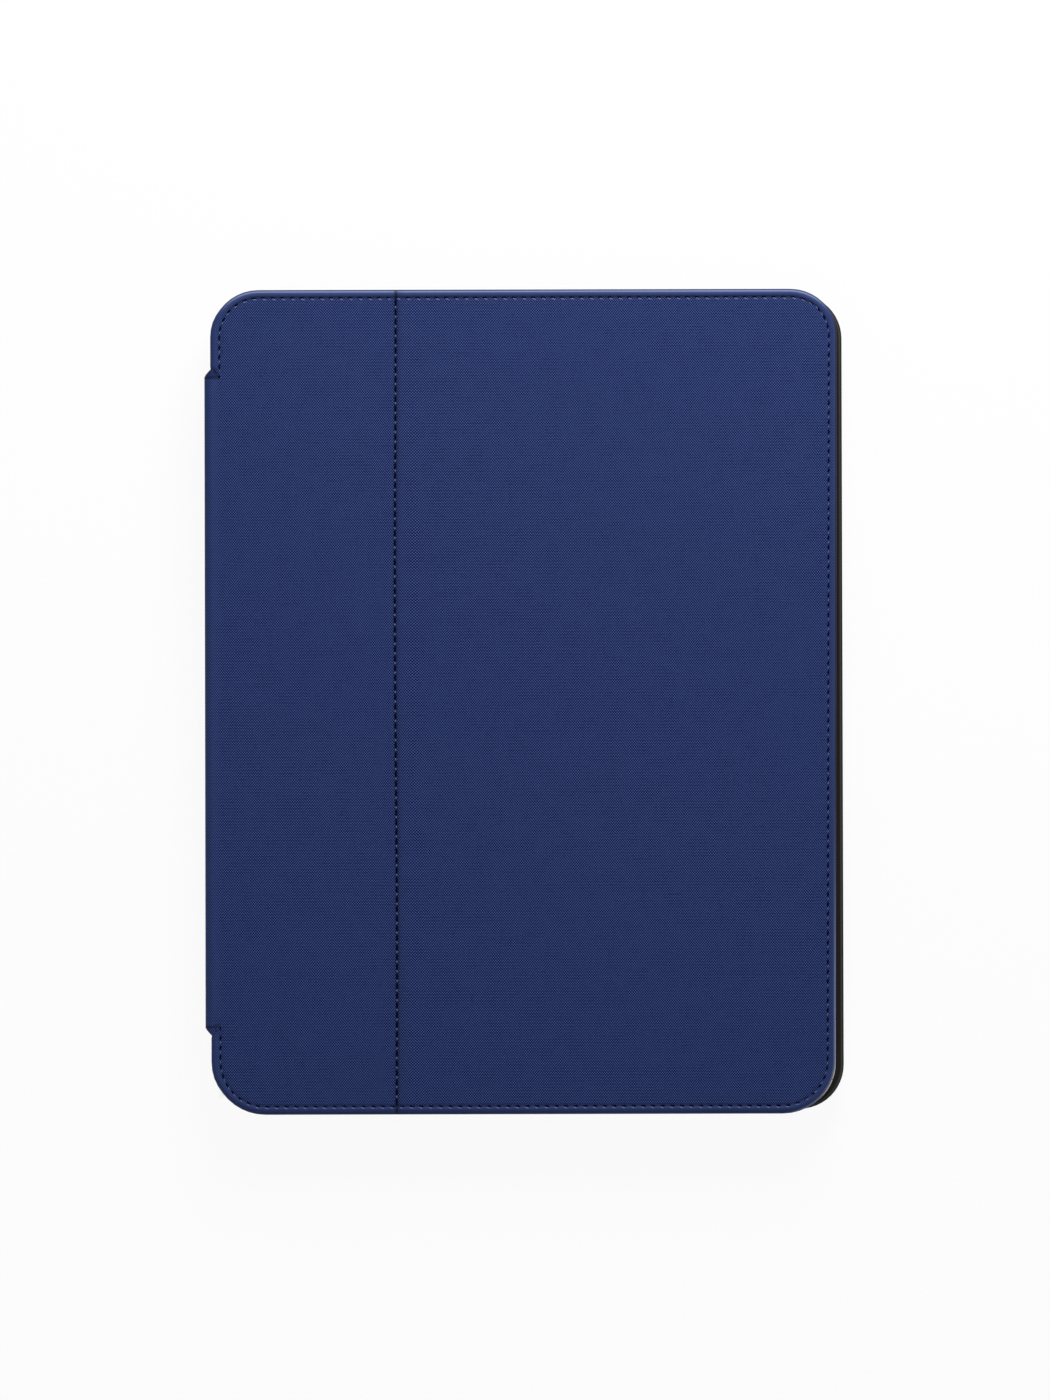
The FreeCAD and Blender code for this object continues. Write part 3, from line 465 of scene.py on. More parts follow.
class Patch:
    """A round-cornered sheet: a grid in the middle, with rings that carry its border outward.

    Each ring gives, for every border point, how far out it lies and how high.
    """

    def __init__(self, low, high, radii, columns, rows, arc_steps=10):
        turn = np.linspace(0, math.pi / 2, arc_steps + 1)
        widest = max(radii)
        straight = [x for x in columns if low[0] + widest + TINY < x < high[0] - widest - TINY]
        angles = np.concatenate([turn, np.full(len(straight), math.pi / 2), math.pi - turn[::-1]])
        edges = []
        for radius, end, sign in ((radii[1], low[1], -1), (radii[0], high[1], 1)):
            left = low[0] + radius * (1 - np.cos(turn))
            right = high[0] - radius * (1 - np.cos(turn[::-1]))
            rise = end - sign * radius * (1 - np.sin(angles))
            edges.append(np.column_stack([np.concatenate([left, straight, right]), rise]))
        lower, upper = edges
        columns = len(angles)
        size = len(rows)
        shares = (np.asarray(rows, float) - lower[0, 1]) / (upper[0, 1] - lower[0, 1])
        span = (upper - lower)[:, None, :]
        self.points = (lower[:, None, :] + span * shares[None, :, None]).reshape(-1, 2)
        self.faces = grid_faces(columns, size)
        up = np.stack([-np.cos(angles), np.sin(angles)], axis=1)
        last = size - 1
        end = (columns - 1) * size
        border = [(j, (-1.0, 0.0)) for j in range(size)]
        border += [(i * size + last, up[i]) for i in range(1, columns)]
        border += [(end + j, (1.0, 0.0)) for j in range(last - 1, -1, -1)]
        border += [(i * size, (up[i][0], -up[i][1])) for i in range(columns - 2, 0, -1)]
        self.border = [index for index, way in border]
        self.ways = np.array([way for index, way in border], float)

    def with_rings(self, rings):
        """Points, faces and flat places, with the rings (out, up, along the cloth) added."""
        base = self.points[self.border]
        count = len(self.points)
        flat = np.column_stack([self.points, np.zeros(count)])
        points, places = [flat], [flat]
        faces = list(self.faces)
        before = self.border
        size = len(self.border)
        for out, up, run in rings:
            ring = base + self.ways * np.broadcast_to(out, size)[:, None]
            points.append(np.column_stack([ring, np.broadcast_to(up, size)]))
            laid = base + self.ways * np.broadcast_to(run, size)[:, None]
            places.append(np.column_stack([laid, np.zeros(size)]))
            now = list(range(count, count + size))
            faces += ring_faces(before, now)
            before = now
            count += size
        return np.concatenate(points), faces, np.concatenate(places)


def even(low, high, gap):
    """Even places from low to high, about this gap apart."""
    return list(np.linspace(low, high, max(2, int(round((high - low) / gap)) + 1)))


def both_sides(values):
    """The values and their mirror images, in order."""
    return sorted({round(sign * value, 7) for value in values for sign in (-1, 1)})


def crease_columns():
    """Places across the crease, closer together near its middle."""
    offsets = both_sides([0.0, 0.3, 0.6, 0.9, 1.3, 1.8, 2.4, 3.2, 4.2, 5.5, 7.5])
    return [CREASE_X + offset * MM for offset in offsets]


def spread(low, high, gap, extra):
    """Even places from low to high, with extra ones in place of the even ones near them."""
    nearest = 0.6 * gap
    plain = [x for x in even(low, high, gap) if min(abs(x - other) for other in extra) > nearest]
    return sorted(plain + list(extra))


def cover_rows(low, high):
    """Places along the cover, closer together at the flaps."""
    fine = [0, 112.0, 113.0, 113.6, 114.0, 114.4, 114.8, 115.2, 115.8, 116.5, 117.2, 118.0, 119.5, 122.0]
    plain = [12.0 * k for k in range(1, 9)] + [104.0, 108.5, 125.0]
    rows = both_sides([place * MM for place in fine + plain])
    return [low] + [value for value in rows if low + 1 * MM < value < high - 1 * MM] + [high]


def cover_outline(inset):
    """Two opposite corners of the cover and its corner radii, set in from its edges."""
    low = (FLAP_X + inset, -COVER_END + inset)
    high = (COVER_RIGHT - inset, COVER_END - inset)
    return low, high, (UPPER_CORNER - inset, LOWER_CORNER - inset)


def cover_patch(inset, gap):
    """A flat sheet of the cover's outline, set in from its edges."""
    low, high, radii = cover_outline(inset)
    columns = spread(low[0], high[0], gap, crease_columns())
    return Patch(low, high, radii, columns, cover_rows(low[1] + radii[1], high[1] - radii[0]))


def lean(x, y):
    """How far the edges were sewn out of true: the free edge slants, and the flaps stand out."""
    slant = 0.0046
    set_in = 0.5 * MM
    stand_out = 0.4 * MM
    free = (slant * np.asarray(y) - set_in) * step(x, CREASE_X + 30 * MM, COVER_RIGHT - 5 * MM)
    flap = step(np.abs(y), HEM_FOLD, FLAP_START) * step(-np.asarray(x), -FLAP_X - 4 * MM, -FLAP_X)
    return free - stand_out * flap


def crease_waver(y):
    """How far the crease's sewing wanders beside the hinge line."""
    beside = -0.82 * MM
    swing = 0.25 * MM
    length = 230 * MM
    start = 30 * MM
    return beside - swing * np.cos((np.asarray(y) - start) * 2 * math.pi / length)


def crease_height(x):
    """The sewn valley along the crease, with a low ridge on either side."""
    off = np.abs(np.asarray(x) - CREASE_X)
    valley = 0.45 * MM * hump(off, 0.0, 0.55 * MM)
    ridge = 0.13 * MM * hump(off, 1.7 * MM, 0.9 * MM)
    return ridge - valley


def bend_at_crease(piece):
    """Bakes a piece's place into its mesh."""
    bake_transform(piece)


# The cover's turned edge, from the flat out and round: (inset, height, how pressed), in millimetres
HEM = (
    (4.6, 0.0, 0.0), (4.0, 0.0, 0.1), (3.5, -0.06, 0.35), (3.15, -0.22, 0.6), (2.83, -0.36, 0.8),
    (2.52, -0.04, 0.95), (2.1, 0.13, 1.0), (1.6, 0.22, 1.0), (1.1, 0.18, 1.0), (0.75, -0.04, 1.0),
    (0.45, -0.36, 1.0), (0.22, -0.7, 1.0), (0.07, -1.05, 1.0), (0.0, -1.4, 1.0), (0.05, -1.9, 1.0),
    (0.22, -2.3, 1.0), (0.55, -2.55, 1.0), (1.0, -2.6, 1.0), (1.35, -2.45, 1.0),
)


def hem_marks(patch):
    """How much painted highlight and painted shade each point gets, from bands along the turned edge.

    A band is (inset, width, strength, side), in millimetres. The painted highlight stops at a lowest height
    on the edge.
    """
    base = patch.points[patch.border]
    right = step(patch.ways[:, 0] - 0.5 * patch.ways[:, 1], 0.55, 0.95)
    lower_right = right * step(-base[:, 1], 20 * MM, 110 * MM)
    upper = step(patch.ways[:, 1], 0.5, 0.95)
    lower = step(-patch.ways[:, 1], 0.5, 0.95)
    # Painted highlight: paler where the upper and right edges catch the light, and a pale line along the
    # lower right edge
    highlights = (
        (0.72, 0.25, 0.62, upper), (0.72, 0.25, 0.1, right), (1.6, 0.6, 0.04, upper),
        (0.3, 0.28, 0.75, lower_right),
    )
    # Painted shade: at the outer rim of the upper and right edges, under the upper stitches, and on the
    # lower edge
    shaded = (
        (0.1, 0.5, 0.95, right - lower_right), (0.08, 0.3, 0.6, upper), (3.2, 0.5, 0.35, upper),
        (1.3, 0.7, 0.25, lower),
    )
    marks = []
    for bands, lowest in ((highlights, -1.2), (shaded, -math.inf)):
        rings = [np.zeros(len(patch.points))]
        for in_by, up, press in HEM:
            parts = [hump(in_by, middle, width) * share * side for middle, width, share, side in bands]
            rings.append(sum(parts) * (up > lowest))
        marks.append(np.concatenate(rings))
    return marks


def spine_side(patch, end):
    """How far along each border point lies, and whether it is on the spine's side, up to an end."""
    along = np.abs(patch.points[patch.border][:, 1])
    faces_spine = patch.ways[:, 0] < -0.999
    return along, faces_spine & (along < end)


def flap_folds(points, where):
    """The slit between the spine's cloth and each flap, and the tuck beside it, from 0 to 1."""
    along = np.abs(points[:, 1])
    slit = hump(along, HEM_FOLD, 0.4 * MM) * where
    tuck = step(along, HEM_FOLD, HEM_FOLD + 0.6 * MM) * where
    return slit, tuck


def flap_shade(points, slit, tuck):
    """How much painted shade falls in the slit and the tuck. The tuck at the upper end gets more."""
    return 0.85 * slit + tuck * np.where(points[:, 1] > 0, 0.4, 0.12)


def make_cover_cloth(material):
    """The outer cloth of both panels, in one piece over the crease, with its edges turned under."""
    inset = 5.0 * MM
    patch = cover_patch(inset, 9 * MM)
    along, at_spine = spine_side(patch, COVER_END - LOWER_CORNER - TINY)
    joined = np.where(at_spine, 1 - step(along, HEM_FOLD + 0.3 * MM, FLAP_START), 0)
    free = 1 - joined
    reach = FLAP_X + inset - BEND_X
    seam = STITCH_INSET / MM - 0.2
    inside = np.zeros(len(patch.points))
    rings, pressed, sewn = [], [inside], [inside]
    run = 0.0
    last = (inset, 0.0)
    for number, (in_by, up, press) in enumerate(HEM):
        now = (in_by * MM, up * MM)
        run += math.dist(last, now)
        last = now
        flat = reach * (number + 1) / len(HEM) * joined
        rings.append(((inset - now[0]) * free + flat, now[1] * free, run * free + flat))
        pressed.append(press * free + 0.95 * joined * step(number, 3, 14))
        sewn.append(hump(in_by, seam, 0.3) * free)
    points, faces, places = patch.with_rings(rings)
    pressed = np.maximum(np.concatenate(pressed), 0.5 * hump(points[:, 0], CREASE_X + 1.8 * MM, 1.6 * MM))
    points[:, 2] += crease_height(points[:, 0]) * step(points[:, 2], -2.3 * MM, -1.0 * MM)
    near_spine = step(-points[:, 0], -FLAP_X - 3.4 * MM, -FLAP_X - 2.0 * MM)
    slit, tuck = flap_folds(points, near_spine)
    tuck *= 1 - step(np.abs(points[:, 1]), FLAP_START - 0.8 * MM, FLAP_START + 0.4 * MM)
    points[:, 2] += COVER_TOP - 0.45 * MM * slit - 0.15 * MM * tuck
    # Painted highlight and painted shade along the turned edge
    highlights, shaded = hem_marks(patch)
    # Painted shade: darker in the crease's groove and beside it, along the hem's stitch groove, in the
    # spine's slit and tuck, and on edges facing away from the light
    crease_shade = 0.75 * hump(points[:, 0], CREASE_X, 0.5 * MM)
    beside = 0.14 * hump(points[:, 0], CREASE_X + 1.6 * MM, 1.2 * MM)
    shade_marks = flap_shade(points, slit, tuck) + crease_shade + beside + 0.15 * np.concatenate(sewn) + shaded
    near_crease = 1 - step(np.abs(points[:, 0] - CREASE_X), 4 * MM, 9 * MM)
    points[:, 0] += lean(points[:, 0], points[:, 1]) + crease_waver(points[:, 1]) * near_crease
    piece = new_piece("cover_cloth", points, faces, material)
    keep_cloth(piece, places, pressed=pressed, fold=np.clip(shade_marks, 0, 1), rub=highlights)
    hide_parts("narrow_fabric", "wide_fabric")
    bend_at_crease(piece)


def bend_line(centre_z, start, turn, straight_from, straight_to):
    """A line across the spine: a straight run, then a round bend. Gives (point, outward way) pairs."""
    straight_steps, bend_steps = 7, 16
    line = []
    for z in np.linspace(straight_from, straight_to, straight_steps + 1)[:-1]:
        line.append(((SPINE_X, z), (-1.0, 0.0)))
    for angle in np.linspace(start, start + turn, bend_steps + 1):
        way = (math.cos(angle), math.sin(angle))
        line.append(((BEND_X + BEND_RADIUS * way[0], centre_z + BEND_RADIUS * way[1]), way))
    return line


def make_spine_cloth(name, line, ends, material):
    """A strip of thick cloth swept along the spine, with its two ends folded in."""
    near_end = ((1.0, 1.0), (0.9985, 0.8), (0.996, 0.45), (0.994, 0.0))
    near_end += tuple((share, 0.0) for share in np.arange(0.99, 0.95, -0.0025))
    middle = tuple((share, 0.0) for share in np.linspace(0.94, -0.94, 35))
    rows_along = near_end + middle + tuple((-share, tuck) for share, tuck in reversed(near_end))
    steps = [math.dist(before[0], after[0]) for before, after in zip(line, line[1:])]
    run = np.concatenate([[0], np.cumsum(steps)])
    pinch = 0.45
    points, places, shade_marks = [], [], []
    for side in (0, 1):
        for (at, way), end, far in zip(line, ends, run):
            for share, tuck in rows_along:
                sunk = CLOTH_THICK * (pinch * tuck if side == 0 else 1 - pinch * tuck)
                points.append((at[0] - way[0] * sunk, share * end, at[1] - way[1] * sunk))
                places.append((far, share * end, 0))
                # Painted shade where the strip's ends are folded in
                shade_marks.append(0.75 * tuck)
    rows = len(line)
    width = len(rows_along)
    inner = rows * width
    faces = grid_faces(rows, width, flipped=True) + grid_faces(rows, width, first=inner)
    for j in range(width - 1):
        top = (rows - 1) * width + j
        faces.append((j, inner + j, inner + j + 1, j + 1))
        faces.append((top, top + 1, inner + top + 1, inner + top))
    for i in range(rows - 1):
        here = i * width
        ahead = here + width
        faces.append((here, ahead, inner + ahead, inner + here))
        here += width - 1
        ahead += width - 1
        faces.append((here, inner + here, inner + ahead, ahead))
    piece = new_piece(name, points, faces, material)
    points = np.array(points)
    above = points[:, 2] > COVER_TOP - BEND_RADIUS
    # Painted shade in the slit and the tuck at each flap
    shade = flap_shade(points, *flap_folds(points, above))
    keep_cloth(piece, places, pressed=0.95, fold=np.clip(np.array(shade_marks) + shade, 0, 1), rub=0.0)
    return piece


def make_spine(material):
    """The spine's cloth: one strip that bends onto the cover, and one that bends under the tray."""
    corner = COVER_TOP - BEND_RADIUS
    line = bend_line(corner, math.pi, -math.pi / 2, SPINE_MIDDLE, corner)
    line.append(((BEND_X + 0.7 * MM, COVER_TOP - 0.5 * MM), (0.0, 1.0)))
    turned = [min(1.0, max(0.0, (at[0] - SPINE_X) / BEND_RADIUS)) for at, way in line]
    drawn_in, flare = 0.7 * MM, 2.8 * MM
    ends = [SPINE_END - drawn_in + flare * share for share in turned]
    upper = make_spine_cloth("spine_cloth", line, ends, material)
    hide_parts("spine_fabric")
    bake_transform(upper)

    line = bend_line(BEND_RADIUS, math.pi, math.pi / 2, SPINE_MIDDLE, BEND_RADIUS)
    for x in np.linspace(BEND_X, tray_low.x + 2 * MM, 5)[1:]:
        line.append(((x, 0.0), (0.0, -1.0)))
    line.reverse()
    lower = make_spine_cloth("spine_cloth_lower", line, [SPINE_END - 0.3 * MM] * len(line), material)
    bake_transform(lower)


def rounded_loop(low, high, radii, steps=10):
    """A round-cornered rectangle, anticlockwise from its lower left. Radii are upper and lower."""
    loop = []
    upper, lower = radii
    corners = (
        (low[0] + lower, low[1] + lower, lower, math.pi),
        (high[0] - lower, low[1] + lower, lower, 1.5 * math.pi),
        (high[0] - upper, high[1] - upper, upper, 0.0),
        (low[0] + upper, high[1] - upper, upper, 0.5 * math.pi),
    )
    for x, y, radius, start in corners:
        for angle in np.linspace(start, start + math.pi / 2, steps + 1):
            way = (math.cos(angle), math.sin(angle))
            loop.append((x + radius * way[0], y + radius * way[1], *way))
    return np.array(loop)


def make_holed_sheet(name, low, high, radius, width, corner, levels, material):
    """A flat sheet with soft edges and a square, round-cornered window at the camera.

    Radius is the sheet's corner. Width and corner are the window's. Levels are (inset, height).
    """
    window_low, window_high = [[middle + side for middle in CAMERA] for side in (-width / 2, width / 2)]
    outer = rounded_loop(low, high, (radius, radius))
    inner = rounded_loop(window_low, window_high, (corner, corner))
    points, faces, rims = [], [], []
    for loop, sign in ((outer, -1), (inner, 1)):
        size = len(loop)
        rings = []
        for in_by, z in levels:
            rings.append(range(len(points), len(points) + size))
            for x, y, way_x, way_y in loop:
                points.append((x + sign * way_x * in_by, y + sign * way_y * in_by, z))
        for lower, upper in zip(rings, rings[1:]):
            band = ring_faces(lower, upper)
            faces += band if sign < 0 else [face[::-1] for face in band]
        rims.append(rings)
    faceted = bmesh.new()
    mesh = new_mesh(name, points, faces)
    faceted.from_mesh(mesh)
    faceted.verts.ensure_lookup_table()
    for level in (0, -1):
        edges = []
        for rings in rims:
            ring = rings[level]
            for k in range(len(ring)):
                pair = (faceted.verts[ring[k]], faceted.verts[ring[(k + 1) % len(ring)]])
                edges.append(faceted.edges.get(pair) or faceted.edges.new(pair))
        bmesh.ops.triangle_fill(faceted, use_beauty=True, use_dissolve=False, edges=edges)
    bmesh.ops.recalc_face_normals(faceted, faces=faceted.faces)
    faceted.to_mesh(mesh)
    faceted.free()
    piece = show(name, mesh, material)
    places = np.array([vertex.co for vertex in mesh.vertices])
    keep_cloth(piece, places * (1, 1, 0), pressed=0.0, fold=0.0, rub=0.0)
    return piece


def make_back_cloth(material):
    """The cloth over the tray's back, with a window round the camera."""
    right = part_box("back_fabric")[1].x
    inset = 2 * MM
    end = tray_high.y - inset
    edge = ((0.25, 0.8), (0.06, 0.66), (0.0, 0.42), (0.08, 0.16), (0.3, 0.0))
    levels = [(in_by * MM, up * MM) for in_by, up in edge]
    piece = make_holed_sheet(
        "back_cloth", (tray_low.x + inset, -end), (right, end), radius=13.5 * MM, width=39.3 * MM,
        corner=10.65 * MM, levels=levels, material=material,
    )
    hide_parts("back_fabric")
    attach(piece, "tray")


def make_tray_lining(material):
    """The lining in the tray's pocket, with a window round the camera."""
    edge = ((0.0, 0.0), (0.0, 0.22), (0.08, 0.34), (0.3, 0.4))
    levels = [(in_by * MM, pocket_low.z + up * MM) for in_by, up in edge]
    piece = make_holed_sheet(
        "tray_lining_sheet", pocket_low[:2], pocket_high[:2], radius=17.8 * MM, width=37.0 * MM,
        corner=9.5 * MM, levels=levels, material=material,
    )
    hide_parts("tray_lining")
    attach(piece, "tray")


def make_cover_lining(material):
    """The lining of both panels, in one piece over the crease.

    Its edges are (inset, height) pairs in millimetres. At the spine it is turned over the board's edge.
    """
    inset = 3.0 * MM
    patch = cover_patch(LINING_INSET + inset, 12 * MM)
    at_spine = spine_side(patch, FLAP_START)[1]
    sewn = ((2.6, 0.0), (1.8, 0.0), (1.4, 0.08), (1.1, 0.0))
    edge = sewn + ((0.5, 0.0), (0.2, 0.06), (0.05, 0.2), (0.0, 0.4))
    turned = sewn + ((0.3, 0.0), (0.0, 0.1), (-0.08, 0.3), (-0.08, 1.95))
    rings = []
    for (in_by, up), (spine_in, spine_up) in zip(edge, turned):
        out = inset - np.where(at_spine, spine_in, in_by) * MM
        rise = np.where(at_spine, spine_up, up) * MM
        rings.append((out, rise, out + rise))
    points, faces, places = patch.with_rings(rings)
    off = np.abs(points[:, 0] - CREASE_X)
    seam = 2.0 * MM
    clear = 0.03 * MM
    dent = 0.12 * MM * hump(off, seam, 0.6 * MM) + 0.1 * MM * hump(off, 0.0, 0.5 * MM)
    # Painted shade in the crease and along the seam beside it
    fold = 0.5 * hump(off, seam, 0.5 * MM) + 0.5 * hump(off, 0.0, 0.4 * MM)
    points[:, 2] += COVER_LOW + clear + dent
    points[:, 0] += lean(points[:, 0], points[:, 1])
    piece = new_piece("cover_lining", points, [face[::-1] for face in faces], material)
    keep_cloth(piece, places, fold=fold)
    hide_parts("narrow_lining", "wide_lining")
    bend_at_crease(piece)


def make_spine_lining(material):
    """The strip inside the spine, turned over the board's edges."""
    low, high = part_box("spine_lining")
    inset = 0.4 * MM
    corner = 0.1 * MM
    middle = (low.z + high.z) / 2
    half = (high.z - low.z) / 2
    columns = even(low.y + 2 * MM, high.y - 2 * MM, 8 * MM)
    rows = even(corner + inset - half, half - inset - corner, 2 * MM)
    ends = ((low.y + inset, -half + inset), (high.y - inset, half - inset))
    patch = Patch(*ends, (corner, corner), columns, rows, arc_steps=4)
    edge = ((0.25, -0.04), (0.06, -0.16), (-0.04, -0.36), (-0.08, -0.7), (-0.08, -1.2), (-0.08, -1.66))
    rings = [(inset - in_by * MM, up * MM, inset - in_by * MM) for in_by, up in edge]
    points, faces, places = patch.with_rings(rings)
    turned = np.column_stack([high.x + points[:, 2], points[:, 0], middle + points[:, 1]])
    piece = new_piece("spine_lining_strip", turned, faces, material)
    keep_cloth(piece, places, fold=0.0)
    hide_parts("spine_lining")
    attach(piece, "spine")


def walk(points, pitch):
    """Evenly spaced places along a line, each with its direction."""
    points = np.asarray(points, float)
    steps = np.linalg.norm(np.diff(points, axis=0), axis=1)
    run = np.concatenate([[0], np.cumsum(steps)])
    count = int(run[-1] / pitch)
    at = (np.arange(count) + 0.5) * run[-1] / count
    look = 0.2 * MM
    behind, places, ahead = (
        np.column_stack([np.interp(at + shift, run, points[:, k]) for k in range(2)])
        for shift in (-look, 0.0, look)
    )
    ways = ahead - behind
    return places, ways / np.linalg.norm(ways, axis=1)[:, None]


def hem_line():
    """The sewing line, from the spine's lower end round the free edge to its upper end."""
    loop = rounded_loop(*cover_outline(STITCH_INSET), steps=24)[:, :2]
    loop[:, 0] += lean(loop[:, 0], loop[:, 1])
    left = FLAP_X + STITCH_INSET
    reach = HEM_FOLD - 1.2 * MM
    return np.concatenate([[(left, -reach)], loop, [(left, reach)]])


def mirrored(half):
    """A bead's profile from its first half: (along, half width, height), in millimetres."""
    return half + tuple((-along, width, up) for along, width, up in reversed(half) if along)


STITCH = mirrored(((-1.15, 0.05, -0.34), (-1.02, 0.2, -0.22), (-0.7, 0.3, -0.04), (-0.3, 0.34, 0.05)))
HEM_STITCH = tuple((0.85 * along, half, up) for along, half, up in STITCH)
GATHER = mirrored(((-0.85, 0.04, -0.2), (-0.6, 0.17, -0.05), (0.0, 0.26, 0.04)))
KNOT = mirrored(((-0.4, 0.04, -0.2), (-0.28, 0.19, -0.05), (0.0, 0.27, 0.04)))


def beads(name, places, ways, heights, facing, profile, material, slant=0.0, sizes=1.0):
    """A row of little closed lengths in one mesh. Heights and sizes may differ along it."""
    sides = 8
    flatness = 0.55
    turn = np.linspace(0, 2 * math.pi, sides, endpoint=False)
    points, faces = [], []
    heights = np.broadcast_to(heights, len(places))
    sizes = np.broadcast_to(sizes, len(places)) * MM
    for (x, y), (way_x, way_y), height, size in zip(places, ways, heights, sizes):
        lean_x = way_x * math.cos(slant) - way_y * math.sin(slant)
        lean_y = way_x * math.sin(slant) + way_y * math.cos(slant)
        first = len(points)
        for along, half, up in profile:
            for angle in turn:
                aside = half * math.cos(angle) * size
                rise = (up + flatness * half * math.sin(angle)) * size
                place_x = x + lean_x * along * size - lean_y * aside
                place_y = y + lean_y * along * size + lean_x * aside
                points.append((place_x, place_y, height + facing * rise))
        rings = [range(start, start + sides) for start in range(first, len(points), sides)]
        bead = [rings[0], rings[-1][::-1]]
        for before, now in zip(rings, rings[1:]):
            bead += ring_faces(now, before)
        faces += bead if facing < 0 else [face[::-1] for face in bead]
    return new_piece(name, points, faces, material)


def make_sewing(thread_material, gather_highlight_material):
    """The stitches of the hem and the crease, with the cloth that they gather.

    At the cover's ends the gathered cloth shows beside each stitch, and along its free edge between two.
    """
    places, ways = walk(hem_line(), STITCH_PITCH)
    at_ends = ways[:-1, :1] ** 2
    upper = places[:-1, 1:] > 0
    aside = (np.where(upper, 0.35, -0.25) * (1, 0) + (0, -0.6)) * MM
    halfway = (places[:-1] + places[1:]) / 2
    between = (places[:-1] + aside) * at_ends + halfway * (1 - at_ends)
    lift = np.where(upper, -0.03, 0.08) * at_ends - 0.14 * (1 - at_ends)
    raised = COVER_TOP + lift[:, 0] * MM
    sizes = 0.6 + 0.4 * at_ends[:, 0]
    between_ways = (ways[:-1] + ways[1:]) / 2
    level = COVER_TOP - 0.17 * MM
    clear = 0.6 * MM
    for body, side in (("narrow_panel", -1), ("wide_panel", 1)):
        label = body.split("_")[0]
        own = side * (places[:, 0] - CREASE_X) > clear
        mid = side * (between[:, 0] - CREASE_X) > clear
        sewn = (places[own], ways[own])
        humps = (between[mid], between_ways[mid], raised[mid])
        rows = (
            beads(f"{label}_hem_stitches", *sewn, level, 1, HEM_STITCH, thread_material, -0.2),
            beads(f"{label}_hem_gathers", *humps, 1, GATHER, gather_highlight_material, -0.35, sizes[mid]),
            beads(f"{label}_inner_stitches", *sewn, COVER_LOW, -1, HEM_STITCH, thread_material, 0.2),
        )
        for row in rows:
            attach(row, body)
    end = COVER_END - STITCH_INSET
    along = np.linspace(-end, end, 60)
    places, ways = walk(np.column_stack([CREASE_X + crease_waver(along), along]), STITCH_PITCH)
    between = (places[:-1] + places[1:]) / 2
    level = COVER_TOP - 0.27 * MM
    rows = (
        beads("crease_stitches", places, ways, level, 1, STITCH, thread_material),
        beads("crease_gathers", between, ways[:-1], level + 0.08 * MM, 1, KNOT, gather_highlight_material),
    )
    for row in rows:
        bend_at_crease(row)


# Legends, in each group's order from the left
LEGENDS = {
    "function_keys": ["esc"] + [f"F{number}" for number in range(1, 13)] + ["del"],
    "number_keys": "`1234567890-=",
    "backspace_key": ["backspace"],
    "tab_key": ["tab"],
    "upper_letter_keys": "QWERTYUIOP[]\\",
    "caps_lock_key": ["caps lock"],
    "home_letter_keys": "ASDFGHJKL;'",
    "enter_key": ["enter"],
    "left_shift_key": ["shift"],
    "lower_letter_keys": "ZXCVBNM,./",
    "right_shift_key": ["shift"],
    "modifier_keys": ["fn", "ctrl", "alt"],
    "command_keys": ["cmd", "cmd"],
    "option_key": ["alt"],
    "side_arrow_keys": ["<", ">"],
    "down_arrow_key": ["v"],
    "up_arrow_key": ["^"],
}


def legend_mesh(text, size):
    """Points and faces of a short text about the origin."""
    curve = bpy.data.curves.new("legend", "FONT")
    curve.body = text
    curve.size = size
    curve.align_x = curve.align_y = "CENTER"
    curve.resolution_u = 3
    carrier = bpy.data.objects.new("legend", curve)
    bpy.context.scene.collection.objects.link(carrier)
    graph = bpy.context.evaluated_depsgraph_get()
    mesh = bpy.data.meshes.new_from_object(carrier.evaluated_get(graph))
    bpy.data.objects.remove(carrier)
    points = np.array([vertex.co for vertex in mesh.vertices]).reshape(-1, 3)
    least_area = 1e-10
    faces = [tuple(polygon.vertices) for polygon in mesh.polygons if polygon.area > least_area]
    bpy.data.meshes.remove(mesh)
    return points, faces


def key_middles(node, low, high, count):
    """The middles of a group's keys, from the left. Two groups have other keys between theirs."""
    if node == "side_arrow_keys":
        shares = (0.5 / 3, 2.5 / 3)
    elif node == "command_keys":
        half_key = 10.9 * MM / (high.y - low.y)
        shares = (half_key, 1 - half_key)
    else:
        shares = [(index + 0.5) / count for index in range(count)]
    return [high.y - share * (high.y - low.y) for share in shares]


def make_legends(material):
    """Printed letters on the keys, which face down while the case is shut."""
    letter_size = 4.6 * MM
    word_size = 2.7 * MM
    for node, labels in LEGENDS.items():
        low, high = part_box(node)
        x = (low.x + high.x) / 2
        z = low.z - 0.02 * MM
        points, faces = [], []
        for label, y in zip(labels, key_middles(node, low, high, len(labels))):
            letters, sides = legend_mesh(label, letter_size if len(label) == 1 else word_size)
            first = len(points)
            points += [(x - up, y - across, z) for across, up, level in letters]
            faces += [tuple(first + corner for corner in side) for side in sides]
        piece = new_piece(f"{node}_legends", points, faces, material)
        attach(piece, node)


